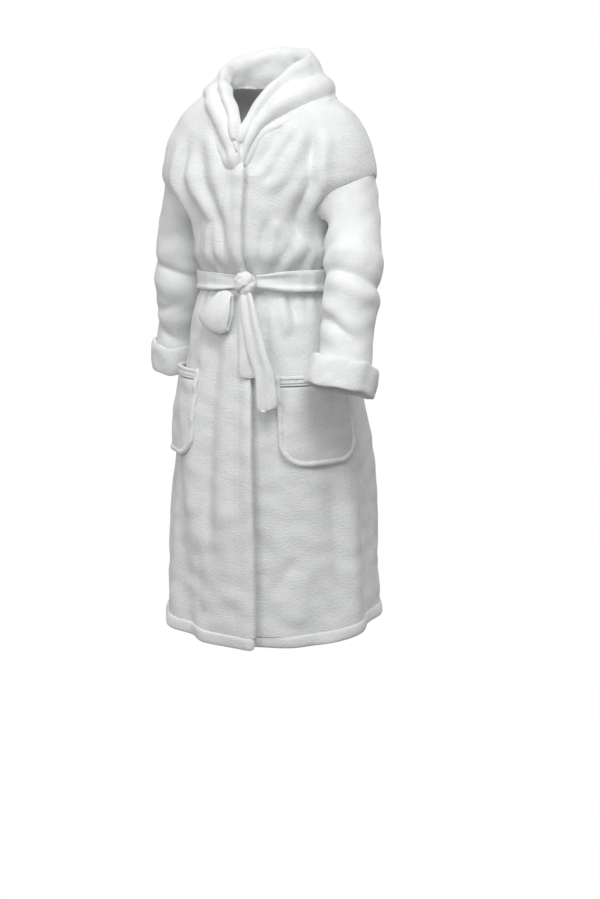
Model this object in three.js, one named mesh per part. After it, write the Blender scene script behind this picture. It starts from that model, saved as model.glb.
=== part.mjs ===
// A belted shawl-collar bathrobe of thick fleece, tied and in its worn shape. Millimetres.
// The origin is the middle of the neck at the height where the collar meets the shoulders.
// +Z is up, the front faces -Y, and the wearer's left is +X.
import * as THREE from "three";

// Cloth and clearances
const cloth = 4; // the fleece
const facingCloth = 2; // the thinner strips inside the front edges
const seamGap = 0.5; // between neighbouring pieces
const layerGap = 1.2; // between layers that lie on each other
const trimGap = 3.5; // under the belt, the pockets and the collar, which lie over curved cloth
const white = 0xf2f2f0;

// The body's outline, ring by ring from the neckline down: height, half width, depth of front and back,
// and how many rows of facets reach down from it to the next ring
const neckline = { z: 5, side: 78, front: 66, back: 78, rows: 2 };
const yoke = { z: -20, side: 140, front: 92, back: 106, rows: 2 };
const shoulder = { z: -58, side: 183, front: 111, back: 122, rows: 2 };
const upperArm = { z: -115, side: 208, front: 127, back: 129, rows: 1 };
const dropSeam = { z: -165, side: 215, front: 134, back: 130, rows: 8 };
const armpit = { z: -255, side: 134, front: 138, back: 126, rows: 2 };
const waist = { z: -367, side: 122, front: 114, back: 110, rows: 2 };
const highHip = { z: -440, side: 143, front: 130, back: 148, rows: 2 };
const hip = { z: -550, side: 160, front: 138, back: 188, rows: 2 };
const thigh = { z: -690, side: 185, front: 141, back: 222, rows: 3 };
const hem = { z: -1083, side: 212, front: 142, back: 262, rows: 0 };
const hemLift = 60; // the back of the hem hangs this much higher than the front
const hemBandHeight = 26;
const hemBandThickness = 9;

// The front wrap, as angles round the body from the middle of the front
const vBottom = -150; // where the two neckline edges meet
const necklineAngle = 80; // where the neckline leaves the collar's level and runs down the front
const wrapAngleTop = 4; // the right front's free edge, past the middle, at the V
const wrapAngleHem = 10.5;
const underlapAngle = 22; // the left front's hidden edge, past the middle the other way
const underlapStart = 90; // and how far below the V it reaches that angle
const facingAngle = 20; // width of the facing strips
const wrapEase = 35; // the right front rises over the left one in this angle from the side seam
const sideSeam = 90;

// Sleeves: the armhole's half width as an angle on the body, and the arm's line
const armholeAngle = 40;
const sleeveUpperRadius = 49;
const sleeveElbowRadius = 46;
const sleeveEndRadius = 49;
// lean is the way that the cuff's axis points, downwards; the right sleeve is pressed flat against the hip
const leftArm = {
  middle: [195, -46, -290],
  elbow: [210, -92, -372],
  wrist: [209, -140, -537],
  lean: [-0.13, -0.27, -0.954],
  narrow: 1,
  deep: 1,
};
const rightArm = {
  middle: [190, 2, -290],
  elbow: [200, 10, -375],
  wrist: [231, 58, -526],
  lean: [0.12, 0.2, -0.97],
  narrow: 0.8,
  deep: 1.14,
};
const sleevePastWrist = 28;
const armholeSwell = 14; // how far the sleeve bulges out below the armhole
const cuffHeight = 58;
const cuffThickness = 9;
const cuffClearance = 2;

// Shawl collar, from the V up the wearer's left edge, round the nape and down the right edge: where the
// inside of its roll stands, and the angle and height of its outer edge on the body
const collarStops = [
  { at: 0, roll: [14, -144, -140], edge: [7, -140] },
  { at: 0.25, roll: [9, -139, -98], edge: [9, -113] },
  { at: 0.5, roll: [14, -119, -55], edge: [14, -86] },
  { at: 0.75, roll: [34, -85, -5], edge: [27, -66] },
  { at: 1, roll: [57, -46, 27], edge: [48, -40] },
  { at: 1.25, roll: [71, 0, 50], edge: [82, -24] },
  { at: 1.5, roll: [69, 38, 64], edge: [118, -26] },
  { at: 2, roll: [0, 74, 74], edge: [180, -36] },
  { at: 2.5, roll: [-76, 40, 58], edge: [242, -26] },
  { at: 2.75, roll: [-86, 4, 38], edge: [278, -22] },
  { at: 3, roll: [-74, -42, 20], edge: [318, -30] },
  { at: 3.25, roll: [-42, -99, -5], edge: [337, -70] },
  { at: 3.5, roll: [-13, -129, -46], edge: [346, -108] },
  { at: 3.75, roll: [-4, -147, -92], edge: [353.5, -143] },
  { at: 4, roll: [-2, -153, -136], edge: [357.5, -156] },
];
const collarRollHalfWidth = 7;
const collarEnd = 10; // the collar stops this far above the V

// Patch pockets, as angles round the body and heights
const leftPocket = { front: 27, back: 78, top: -546 };
const rightPocket = { front: 33, back: 83, top: -541 };
const pocketDepth = 168;
const pocketCornerRadius = 38;
const pocketGape = 9; // how far the pocket stands off the front at its mouth
const pocketBandHeight = 16;
const pocketTrimRadius = 4.5;

// Belt
const beltWidth = 46;
const beltCloth = 5;
const knot = { x: 8, width: 46, depth: 30, height: 44 };
const shortTail = { angleTop: 2, angleEnd: 8, end: -548, width: 34, over: 0 }; // it lies under the long one
const longTail = { angleTop: 5, angleEnd: 20, end: -611, width: 27, over: 1 };
const bowLoop = { angle: -17, drift: 8, width: 58, length: 92, depth: 26 };
const tailStart = 8; // below the knot
const loopStrap = { width: 14, thickness: 2.5, reach: 12 };

// Small pieces at the nape
const hangerWidth = 60;
const hangerTape = 8;
const hangerThickness = 2;
const hangerDrop = 26;
const hangerBelowNeck = 4;
const labelWidth = 44;
const labelHeight = 22;
const labelThickness = 0.8;
const labelBelowHanger = 6;
const napeClearance = 3;

const rad = THREE.MathUtils.degToRad;
const lerp = THREE.MathUtils.lerp;
const smooth = THREE.MathUtils.smoothstep;
const layer = cloth + layerGap; // where a piece that lies on the cloth begins
const wrapLift = layer + facingCloth + layerGap; // the right front's height over the left one

// A smooth curve through a table's values that never overshoots them (monotone cubic)
function monotone(xs, ys) {
  const last = xs.length - 1;
  const slope = ys.slice(1).map((y, i) => (y - ys[i]) / (xs[i + 1] - xs[i]));
  const tangent = xs.map((_, i) => {
    if (i === 0) return slope[0];
    if (i === last) return slope[last - 1];
    const [a, b] = [slope[i - 1], slope[i]];
    return a * b <= 0 ? 0 : (2 * a * b) / (a + b);
  });
  return (x) => {
    let i = 0;
    while (i < last - 1 && x > xs[i + 1]) i += 1;
    const h = xs[i + 1] - xs[i];
    const t = THREE.MathUtils.clamp((x - xs[i]) / h, 0, 1);
    return (
      ys[i] * (1 + 2 * t) * (1 - t) ** 2 +
      ys[i + 1] * t * t * (3 - 2 * t) +
      h * (tangent[i] * t * (1 - t) ** 2 - tangent[i + 1] * t * t * (1 - t))
    );
  };
}

// The body's surface
const rings = [neckline, yoke, shoulder, upperArm, dropSeam, armpit, waist, highHip, hip, thigh, hem];
const rising = [...rings].reverse();
const ringCurve = (key) => monotone(rising.map((ring) => ring.z), rising.map((ring) => ring[key]));
const sideAt = ringCurve("side");
const frontAt = ringCurve("front");
const backAt = ringCurve("back");

function bodyCentre(z, angle) {
  const c = Math.cos(rad(angle));
  const lift = hemLift * smooth(-z, -highHip.z, -hem.z) * (1 - c) * 0.5;
  const depth = c > 0 ? frontAt(z) : backAt(z);
  return new THREE.Vector3(sideAt(z) * Math.sin(rad(angle)), -depth * c, z + lift);
}

// A point on the body at a height and an angle, raised off the surface along its normal
function onBody(z, angle, raised = 0) {
  const across = bodyCentre(z, angle + 0.5).sub(bodyCentre(z, angle - 0.5));
  const up = bodyCentre(z + 1, angle).sub(bodyCentre(z - 1, angle));
  return bodyCentre(z, angle).addScaledVector(across.cross(up).normalize(), raised);
}

// Rows of the body's panels. Rows in the armhole crowd towards its ends, where it turns.
function rowHeights() {
  const rows = rings.slice(0, -1).flatMap((ring, i) => {
    const next = rings[i + 1];
    const share = (k) => (ring === dropSeam ? (1 - Math.cos((Math.PI * k) / ring.rows)) / 2 : k / ring.rows);
    return Array.from({ length: ring.rows }, (_, k) => lerp(ring.z, next.z, share(k)));
  });
  return [...rows, vBottom].sort((a, b) => b - a);
}

// How far the armhole cuts into a panel at a height, as an angle from the side seam
function armholeCut(z) {
  const t = (z - armpit.z) / (dropSeam.z - armpit.z);
  return t > 0 && t < 1 ? armholeAngle * 2 * Math.sqrt(t * (1 - t)) : 0;
}

// The neckline's two straight edges run down and in from the collar's level to the V
function necklineAngleAt(z) {
  const halfWidth = (neckline.side * Math.sin(rad(necklineAngle)) * (z - vBottom)) / (neckline.z - vBottom);
  return THREE.MathUtils.radToDeg(Math.asin(halfWidth / sideAt(z)));
}

function rightEdge(z) {
  if (z > vBottom) return lerp(wrapAngleTop, -necklineAngle, necklineAngleAt(z) / necklineAngle);
  return lerp(wrapAngleTop, wrapAngleHem, (vBottom - z) / (vBottom - hem.z));
}

function leftEdge(z) {
  if (z > vBottom) return necklineAngleAt(z);
  return -underlapAngle * smooth(vBottom - z, 0, underlapStart);
}

const rightLift = (angle) => wrapLift * smooth(angle, -sideSeam, -sideSeam + wrapEase);

// A closed mesh from a grid of points on two faces. Its edges are walled, or its columns wrap round.
function closedSheet(pointAt, columns, rows, wraps = false) {
  const points = [];
  const triangles = [];
  const across = wraps ? columns : columns + 1;
  for (const face of [0, 1])
    for (let j = 0; j <= rows; j += 1)
      for (let i = 0; i < across; i += 1) points.push(pointAt(i / columns, j / rows, face));
  const at = (i, j, face) => face * across * (rows + 1) + j * across + (i % across);
  const quad = (a, b, c, d) => triangles.push(a, b, c, a, c, d);
  for (let j = 0; j < rows; j += 1)
    for (let i = 0; i < columns; i += 1) {
      quad(at(i, j, 1), at(i + 1, j, 1), at(i + 1, j + 1, 1), at(i, j + 1, 1));
      quad(at(i, j, 0), at(i, j + 1, 0), at(i + 1, j + 1, 0), at(i + 1, j, 0));
    }
  for (let i = 0; i < columns; i += 1) {
    quad(at(i, 0, 0), at(i + 1, 0, 0), at(i + 1, 0, 1), at(i, 0, 1));
    quad(at(i + 1, rows, 0), at(i, rows, 0), at(i, rows, 1), at(i + 1, rows, 1));
  }
  if (!wraps)
    for (let j = 0; j < rows; j += 1) {
      quad(at(0, j + 1, 0), at(0, j, 0), at(0, j, 1), at(0, j + 1, 1));
      quad(at(columns, j, 0), at(columns, j + 1, 0), at(columns, j + 1, 1), at(columns, j, 1));
    }
  return facingOut(points, triangles);
}

// A geometry whose faces point out, whichever way its grid ran
function facingOut(points, triangles) {
  let volume = 0;
  for (let k = 0; k < triangles.length; k += 3) {
    const [a, b, c] = triangles.slice(k, k + 3).map((i) => points[i]);
    volume += a.dot(b.clone().cross(c));
  }
  if (volume < 0)
    for (let k = 0; k < triangles.length; k += 3)
      [triangles[k + 1], triangles[k + 2]] = [triangles[k + 2], triangles[k + 1]];
  const geometry = new THREE.BufferGeometry().setFromPoints(points);
  geometry.setIndex(triangles);
  geometry.computeVertexNormals();
  return geometry;
}

const robe = new THREE.Group();

function add(name, geometry, roughness = 0.95, color = white) {
  const mesh = new THREE.Mesh(geometry, new THREE.MeshStandardMaterial({ color, roughness, metalness: 0 }));
  mesh.name = name;
  robe.add(mesh);
}

// A panel of the body between two edges given as angles at each height, from its lowest row to the neckline
function bodyPanel(from, to, columns, bottom, top, inner, outer) {
  const rows = [top, ...rowHeights().filter((z) => z < top && z > bottom + hemBandHeight), bottom];
  return closedSheet(
    (u, v, face) => {
      const z = rows[Math.round(v * (rows.length - 1))];
      const angle = lerp(from(z), to(z), u);
      return onBody(z, angle, face ? outer(angle) : inner(angle));
    },
    columns,
    rows.length - 1,
  );
}

// A band along the hem under a panel, with rounded long edges
function hemBand(from, to, columns, lift) {
  const section = 10;
  return closedSheet(
    (u, v, face) => {
      const t = v * Math.PI;
      const z = hem.z + hemBandHeight * (0.5 + 0.5 * Math.cos(t));
      const angle = lerp(from(z), to(z), u);
      const half = (hemBandThickness / 2) * Math.max(0.35, Math.sin(t));
      return onBody(z, angle, lift(angle) + cloth / 2 + (face ? half : -half));
    },
    columns,
    section / 2,
  );
}

const seamShare = 0.15; // half the gap at a seam, as an angle on the body
const panelBottom = hem.z + hemBandHeight + seamGap;
const flat = () => 0;
const always = (value) => () => value;

add(
  "back_panel",
  bodyPanel(
    (z) => sideSeam + seamShare + armholeCut(z),
    (z) => 360 - sideSeam - seamShare - armholeCut(z),
    14, panelBottom, neckline.z, flat, always(cloth),
  ),
);
add(
  "front_panel_left",
  bodyPanel(
    (z) => leftEdge(z),
    (z) => sideSeam - seamShare - armholeCut(z),
    9, panelBottom, neckline.z, flat, always(cloth),
  ),
);
add(
  "front_panel_right",
  bodyPanel(
    (z) => -sideSeam + seamShare + armholeCut(z),
    (z) => rightEdge(z),
    9, panelBottom, neckline.z, rightLift, (angle) => rightLift(angle) + cloth,
  ),
);
add(
  "front_facing_left",
  bodyPanel(leftEdge, (z) => leftEdge(z) + facingAngle, 3, panelBottom, vBottom, always(-layerGap - facingCloth), always(-layerGap)),
);
add(
  "front_facing_right",
  bodyPanel(
    (z) => rightEdge(z) - facingAngle,
    rightEdge,
    3, panelBottom, vBottom,
    (angle) => rightLift(angle) - layerGap - facingCloth,
    (angle) => rightLift(angle) - layerGap,
  ),
);
add("hem_band_back", hemBand(always(sideSeam + seamShare), always(360 - sideSeam - seamShare), 14, flat));
add("hem_band_left", hemBand(leftEdge, always(sideSeam - seamShare), 9, (angle) => -4 * smooth(-angle, -30, 0)));
add("hem_band_right", hemBand(always(-sideSeam + seamShare), rightEdge, 9, (angle) => rightLift(angle) * 1.2));

// Sleeves. side is 1 for the wearer's left and -1 for the right.
function armLine(arm) {
  const start = new THREE.Vector3((dropSeam.side + armpit.side) / 2, 0, (dropSeam.z + armpit.z) / 2);
  const [middle, joint, end, along] = [arm.middle, arm.elbow, arm.wrist, arm.lean].map((point) => new THREE.Vector3(...point));
  along.normalize();
  const before = end.clone().addScaledVector(along, -sleevePastWrist);
  const tip = end.clone().addScaledVector(along, sleevePastWrist);
  const line = new THREE.CatmullRomCurve3([start, middle, joint, joint.clone().lerp(before, 0.5), before, end, tip], false, "centripetal");
  return { line, along, end };
}

// The armhole's edge on the body: 0 at its outer top, a quarter turn at the front, a half turn at the armpit
function armholePoint(turn, raised) {
  const t = (1 + Math.cos(turn)) / 2;
  const inset = seamShare * 4;
  const angle = sideSeam - (armholeAngle - inset) * Math.sin(turn);
  const z = lerp(armpit.z + seamGap * 2, dropSeam.z - seamGap * 2, t);
  return onBody(z, angle, raised);
}

function sleeve(side, arm) {
  const { line } = armLine(arm);
  const radiusAt = monotone([0, 0.3, 0.55, 0.75, 1], [sleeveUpperRadius, sleeveUpperRadius, sleeveElbowRadius, sleeveElbowRadius - 2, sleeveEndRadius]);
  const forward = new THREE.Vector3(0, -1, 0);
  const ringPoint = (turn, t, raised) => {
    const centre = line.getPoint(t);
    const tangent = line.getTangent(t);
    const ahead = forward.clone().addScaledVector(tangent, -forward.dot(tangent)).normalize();
    const out = ahead.clone().cross(tangent);
    const radius = radiusAt(t) + raised;
    const flattened = smooth(t, 0.5, 0.8);
    const [width, depth] = [lerp(1, arm.narrow, flattened), lerp(1, arm.deep, flattened)];
    return centre
      .addScaledVector(out, radius * width * Math.cos(turn))
      .addScaledVector(ahead, radius * depth * Math.sin(turn));
  };
  return closedSheet(
    (u, v, face) => {
      const turn = u * 2 * Math.PI;
      const raised = face ? cloth : 0;
      const blend = smooth(v, 0, 0.3);
      const point = armholePoint(turn, raised).lerp(ringPoint(turn, v, raised), blend);
      point.x += armholeSwell * 4 * blend * (1 - blend) * (1 - Math.cos(turn)) * 0.5;
      return point.setX(point.x * side);
    },
    16,
    12,
    true,
  );
}

// A turned-back cuff: a ring of doubled cloth round the sleeve's end, rounded at its fold
function cuff(side, arm) {
  const { along, end } = armLine(arm);
  const inner = sleeveEndRadius + cloth + cuffClearance;
  const half = cuffHeight / 2;
  const profile = [];
  const roundness = 3;
  for (const [x, y] of [[0, -half + roundness], [0, half - roundness], [roundness, half], [cuffThickness - roundness, half],
    [cuffThickness, half - roundness], [cuffThickness, -half + roundness], [cuffThickness - roundness, -half], [roundness, -half]])
    profile.push(new THREE.Vector2(inner + x, y));
  profile.push(profile[0].clone());
  profile.reverse();
  const geometry = new THREE.LatheGeometry(profile, 24);
  const down = along.clone().setX(along.x * side);
  const ahead = new THREE.Vector3(0, -1, 0).addScaledVector(down, down.y).normalize();
  const frame = new THREE.Matrix4().makeBasis(down.clone().cross(ahead), down, ahead);
  geometry.scale(arm.narrow, 1, arm.deep).applyMatrix4(frame).translate(end.x * side, end.y, end.z);
  return geometry;
}

add("sleeve_left", sleeve(1, leftArm));
add("sleeve_right", sleeve(-1, rightArm));
add("cuff_left", cuff(1, leftArm));
add("cuff_right", cuff(-1, rightArm));

// Shawl collar: stands up from the neckline, rolls over and falls on the shoulders
// Where its seam runs: 0 at the V on the wearer's left, 1 to 3 round the nape, 4 back at the V on the right
function collarSeam(at) {
  const rise = Math.min(at, 4 - at);
  const z = lerp(vBottom + collarEnd, neckline.z, Math.min(1, rise));
  if (rise >= 1) return { z, angle: lerp(necklineAngle, 360 - necklineAngle, (at - 1) / 2) };
  return { z, angle: at < 1 ? leftEdge(z) : 360 + rightEdge(z) };
}
const collarCurve = (key, i) => monotone(collarStops.map((stop) => stop.at), collarStops.map((stop) => stop[key][i]));
const rollCurves = [0, 1, 2].map((i) => collarCurve("roll", i));
const edgeCurves = [0, 1].map((i) => collarCurve("edge", i));

function collarPoint(position, across, raised) {
  const at = position * 4;
  const { z, angle } = collarSeam(at);
  const rightSide = (turn) => (turn > 180 ? rightLift(turn - 360) : 0);
  const seam = onBody(z + seamGap + cloth * 2, angle, cloth + seamGap * 2 + rightSide(angle));
  const roll = new THREE.Vector3(...rollCurves.map((curve) => curve(at)));
  const [edgeAngle, edgeZ] = edgeCurves.map((curve) => curve(at));
  const edge = onBody(edgeZ, edgeAngle, layer + rightSide(edgeAngle) + cloth + trimGap);
  const chest = onBody(edgeZ, edgeAngle, 1).sub(onBody(edgeZ, edgeAngle, 0));
  const lift = new THREE.Vector3(0, 0, 1).lerp(chest, 1 - smooth(Math.min(at, 4 - at), 0.4, 1.2)).normalize();
  const out = edge.clone().sub(roll);
  out.addScaledVector(lift, -out.dot(lift)).normalize();
  const r = collarRollHalfWidth * lerp(0.5, 1, smooth(Math.min(at, 4 - at), 0, 0.5));
  const stop = (outwards, up) => roll.clone().addScaledVector(out, outwards * r).addScaledVector(lift, up * r);
  const profile = new THREE.CatmullRomCurve3([
    seam,
    seam.clone().lerp(stop(0, -1), 0.6),
    stop(0, -0.5),
    stop(1, 0.6),
    stop(2, -0.4),
    edge.clone().lerp(stop(2, -0.4), 0.45).addScaledVector(chest, 10),
    edge,
  ]);
  const tangent = profile.getTangent(across);
  const along = new THREE.Vector3(Math.cos(rad(angle)), Math.sin(rad(angle)), 0);
  const normal = along.cross(tangent).normalize();
  return profile.getPoint(across).addScaledVector(normal, raised);
}
add(
  "shawl_collar",
  closedSheet(
    (u, v, face) => collarPoint(u, v, (face ? 0.5 : -0.5) * cloth),
    28,
    12,
  ),
);

// Patch pockets
const pocketLift = (side, angle) => cloth + trimGap + (side < 0 ? rightLift(-angle) : 0);

const pocketOn = (side) => (side > 0 ? leftPocket : rightPocket);

function pocketOutline(side, across, down) {
  // 0 to 1 across and down to angle and height, with the lower corners rounded
  const { front, back, top } = pocketOn(side);
  const width = rad(back - front) * (sideAt(top) + frontAt(top)) * 0.5;
  const depthHere = down * pocketDepth;
  const intoCorner = Math.max(0, depthHere - (pocketDepth - pocketCornerRadius));
  const inset = pocketCornerRadius - Math.sqrt(Math.max(0, pocketCornerRadius ** 2 - intoCorner ** 2));
  const share = (inset + across * (width - 2 * inset)) / width;
  return { angle: lerp(front, back, share), z: top - depthHere };
}

const lastRow = 0.985; // the bottom row stops short of a point

function pocket(side) {
  const lift = (angle) => pocketLift(side, angle);
  return closedSheet(
    (u, v, face) => {
      const { angle, z } = pocketOutline(side, u, lerp(pocketBandHeight / pocketDepth + 0.005, lastRow, v));
      const gape = pocketGape * Math.sin(Math.PI * u) ** 0.5 * Math.cos((Math.PI / 2) * v) ** 0.5;
      return onBody(z, angle * side, lift(angle) + gape + (face ? cloth : 0));
    },
    8,
    8,
  );
}

function pocketBand(side) {
  const lift = (angle) => pocketLift(side, angle);
  return closedSheet(
    (u, v, face) => {
      const { angle, z } = pocketOutline(side, u, (v * pocketBandHeight) / pocketDepth);
      return onBody(z, angle * side, lift(angle) + pocketGape * Math.sin(Math.PI * u) ** 0.5 + (face ? cloth * 1.4 : 0));
    },
    8,
    1,
  );
}

// The rolled trim round a pocket's sides and bottom
function pocketTrim(side) {
  const { front, back, top } = pocketOn(side);
  const stops = [];
  const steps = 6;
  const outside = (pocketTrimRadius + seamGap) / (sideAt(top) * rad(1));
  const lift = (angle) => pocketLift(side, angle) + pocketTrimRadius + 0.5;
  const place = (angle, z) => stops.push(onBody(z, angle * side, lift(angle)));
  const corner = pocketCornerRadius / ((sideAt(top) + frontAt(top)) * 0.5 * rad(1));
  place(front - outside, top);
  place(front - outside, top - (pocketDepth - pocketCornerRadius) / 2);
  for (let k = 0; k <= steps; k += 1) {
    const t = (Math.PI / 2) * (k / steps);
    place(
      front - outside + corner * (1 - Math.cos(t)),
      top - pocketDepth + pocketCornerRadius - (pocketCornerRadius + pocketTrimRadius + 1) * Math.sin(t),
    );
  }
  for (let k = steps; k >= 0; k -= 1) {
    const t = (Math.PI / 2) * (k / steps);
    place(
      back + outside - corner * (1 - Math.cos(t)),
      top - pocketDepth + pocketCornerRadius - (pocketCornerRadius + pocketTrimRadius + 1) * Math.sin(t),
    );
  }
  place(back + outside, top - (pocketDepth - pocketCornerRadius) / 2);
  place(back + outside, top);
  return roundBar(stops, pocketTrimRadius, 30, 8);
}

// A round bar along a smooth line through points
function roundBar(stops, radius, steps, sides) {
  const section = new THREE.Shape(
    Array.from({ length: sides }, (_, k) => new THREE.Vector2(
      radius * Math.cos((2 * Math.PI * k) / sides),
      radius * Math.sin((2 * Math.PI * k) / sides),
    )),
  );
  const line = new THREE.CatmullRomCurve3(stops, false, "centripetal");
  return new THREE.ExtrudeGeometry(section, { steps, extrudePath: line });
}

for (const [name, side] of [["left", 1], ["right", -1]]) {
  add(`pocket_${name}`, pocket(side));
  add(`pocket_band_${name}`, pocketBand(side));
  add(`pocket_trim_${name}`, pocketTrim(side));
}

// Belt
const beltLift = (angle) => {
  const fromFront = Math.abs(THREE.MathUtils.euclideanModulo(angle + 180, 360) - 180);
  return cloth + trimGap + wrapLift * (1 - smooth(fromFront, sideSeam - wrapEase, sideSeam));
};
const knotAngle = THREE.MathUtils.radToDeg(Math.asin(knot.x / sideAt(waist.z)));
const beltEnd = THREE.MathUtils.radToDeg(Math.asin((knot.width / 2 + seamGap * 2) / (sideAt(waist.z) + beltLift(0))));
add(
  "belt_band",
  closedSheet(
    (u, v, face) => {
      const angle = lerp(knotAngle + beltEnd, knotAngle + 360 - beltEnd, u);
      const pinch = 0.62 + 0.38 * smooth(Math.min(u, 1 - u), 0, 0.06); // gathered where it enters the knot
      return onBody(waist.z + (0.5 - v) * beltWidth * pinch, angle, beltLift(angle) + (face ? beltCloth : 0));
    },
    36,
    2,
  ),
);

const knotOut = onBody(waist.z, knotAngle, beltLift(0) + knot.depth / 2);
const knotBall = new THREE.SphereGeometry(0.5, 16, 12);
knotBall.scale(knot.width, knot.depth, knot.height).translate(knotOut.x, knotOut.y, knotOut.z);
add("belt_knot", knotBall);

// A tail hangs from under the knot and follows the front of the robe
const strapTop = waist.z - knot.height / 2 - tailStart;
const tailLift = beltLift(0) + layerGap;
function beltTail({ angleTop, angleEnd, end, width, over }) {
  const lift = tailLift + over * (beltCloth + layerGap);
  return closedSheet(
    (u, v, face) => {
      const z = lerp(strapTop, end, v);
      const spread = THREE.MathUtils.radToDeg(width / sideAt(z)) * (0.75 + 0.25 * smooth(v, 0, 0.3));
      const angle = lerp(angleTop, angleEnd, v) + (u - 0.5) * spread;
      return onBody(z, angle, lift + (face ? beltCloth : 0));
    },
    3,
    8,
  );
}
add("belt_tail_short", beltTail(shortTail));
add("belt_tail_long", beltTail(longTail));

// The half bow: the belt folded into one drooping loop, left of the knot as seen from the front
add(
  "bow_loop",
  closedSheet(
    (u, v, face) => {
      const turn = lerp(0.06, 0.94, v) * 2 * Math.PI;
      const half = face ? 0.5 : 0.5 - beltCloth / bowLoop.depth;
      const halfLength = bowLoop.length / 2 - (face ? 0 : beltCloth);
      const z = strapTop - bowLoop.length / 2 + halfLength * Math.cos(turn);
      const spread = THREE.MathUtils.radToDeg(bowLoop.width / sideAt(waist.z));
      const narrowing = 0.6 + 0.2 * (1 - Math.cos(turn));
      const angle = bowLoop.angle + (u - 0.5) * spread * narrowing + bowLoop.drift * Math.cos(turn) * 0.5;
      return onBody(z, angle, tailLift + bowLoop.depth * (0.5 + half * Math.sin(turn)));
    },
    3,
    16,
  ),
);

// Belt loops: straps sewn to the side seams over and under the belt
function beltLoop(side) {
  const reach = beltWidth / 2 + loopStrap.reach;
  const out = beltLift(sideSeam) + beltCloth + layerGap;
  const half = THREE.MathUtils.radToDeg(loopStrap.width / 2 / sideAt(waist.z));
  return closedSheet(
    (u, v, face) => {
      const t = v * 2 - 1;
      const over = 1 - smooth(Math.abs(t), 0.72, 0.98);
      const angle = (sideSeam + (u * 2 - 1) * half) * side;
      return onBody(waist.z + t * reach, angle, lerp(layer, out, over) + (face ? loopStrap.thickness : 0));
    },
    2,
    12,
  );
}
add("belt_loop_left", beltLoop(1));
add("belt_loop_right", beltLoop(-1));

// Hanging loop: a flat tape bent into a U inside the nape, its closed end down
const insideNape = (z, halfWidth) => backAt(z) * Math.sqrt(1 - (halfWidth / sideAt(z)) ** 2) - napeClearance;
const hangerTop = neckline.z - hangerBelowNeck;
function hangerLoop() {
  const shape = new THREE.Shape();
  const [w, h, t] = [hangerWidth / 2, hangerDrop, hangerTape];
  shape.moveTo(-w, 0);
  shape.lineTo(-w, -h + t);
  shape.absarc(-w + t, -h + t, t, Math.PI, 1.5 * Math.PI);
  shape.lineTo(w - t, -h);
  shape.absarc(w - t, -h + t, t, 1.5 * Math.PI, 2 * Math.PI);
  shape.lineTo(w, 0);
  shape.lineTo(w - t, 0);
  shape.lineTo(w - t, -h + t);
  shape.lineTo(-w + t, -h + t);
  shape.lineTo(-w + t, 0);
  shape.closePath();
  const geometry = new THREE.ExtrudeGeometry(shape, { depth: hangerThickness, bevelEnabled: false, curveSegments: 4 });
  const y = insideNape(neckline.z, hangerWidth / 2);
  return geometry.rotateX(Math.PI / 2).translate(0, y, hangerTop);
}
add("hanging_loop", hangerLoop(), 0.8);

const labelTop = hangerTop - hangerDrop - labelBelowHanger;
const label = new THREE.BoxGeometry(labelWidth, labelThickness, labelHeight);
label.translate(0, insideNape(labelTop, labelWidth / 2) - labelThickness / 2, labelTop - labelHeight / 2);
add("blank_label", label, 0.6, 0xe6e6e2);

export default robe;
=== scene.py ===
# A white plush fleece bathrobe with a shawl collar, tied and in its worn shape. Metres, +Z up, front to -Y.
# Every cloth piece is a surface worked out on a grid, laid on one body surface, and then given its thickness.
import math
import bpy
import numpy as np
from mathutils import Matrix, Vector


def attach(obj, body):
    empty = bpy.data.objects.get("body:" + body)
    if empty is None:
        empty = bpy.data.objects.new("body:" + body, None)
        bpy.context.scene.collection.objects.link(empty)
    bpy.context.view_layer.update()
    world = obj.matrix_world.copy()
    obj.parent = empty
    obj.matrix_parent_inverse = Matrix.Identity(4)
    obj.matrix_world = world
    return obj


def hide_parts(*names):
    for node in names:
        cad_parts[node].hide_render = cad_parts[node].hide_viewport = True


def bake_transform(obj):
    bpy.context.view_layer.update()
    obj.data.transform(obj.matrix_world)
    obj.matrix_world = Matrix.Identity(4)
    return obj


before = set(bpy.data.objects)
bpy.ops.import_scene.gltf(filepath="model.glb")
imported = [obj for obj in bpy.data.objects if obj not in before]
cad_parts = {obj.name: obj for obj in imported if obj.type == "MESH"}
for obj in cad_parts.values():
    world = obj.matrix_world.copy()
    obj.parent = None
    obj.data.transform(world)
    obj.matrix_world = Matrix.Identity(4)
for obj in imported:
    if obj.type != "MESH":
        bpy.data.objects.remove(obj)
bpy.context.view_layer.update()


def smooth(x, low, high):
    # 0 below low, 1 above high, and an even S between them
    t = np.clip((x - low) / (high - low), 0.0, 1.0)
    return t * t * (3.0 - 2.0 * t)


def bump(x, centre, width):
    # a soft hill, 1 at the centre
    return np.exp(-((x - centre) / width) ** 2)


def mix(a, b, t):
    return a + (b - a) * t


def monotone(xs, ys):
    # a smooth curve through a table that never overshoots it
    xs, ys = np.asarray(xs, float), np.asarray(ys, float)
    slope = np.diff(ys) / np.diff(xs)
    product = slope[:-1] * slope[1:]
    total = np.where(slope[:-1] + slope[1:] == 0, 1.0, slope[:-1] + slope[1:])
    inner = np.where(product > 0, 2.0 * product / total, 0.0)
    tangent = np.concatenate([[slope[0]], inner, [slope[-1]]])

    def at(x):
        i = np.clip(np.searchsorted(xs, x) - 1, 0, len(xs) - 2)
        h = xs[i + 1] - xs[i]
        t = np.clip((x - xs[i]) / h, 0.0, 1.0)
        return (ys[i] * (1 + 2 * t) * (1 - t) ** 2 + ys[i + 1] * t * t * (3 - 2 * t)
                + h * (tangent[i] * t * (1 - t) ** 2 - tangent[i + 1] * t * t * (1 - t)))

    return at


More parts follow.
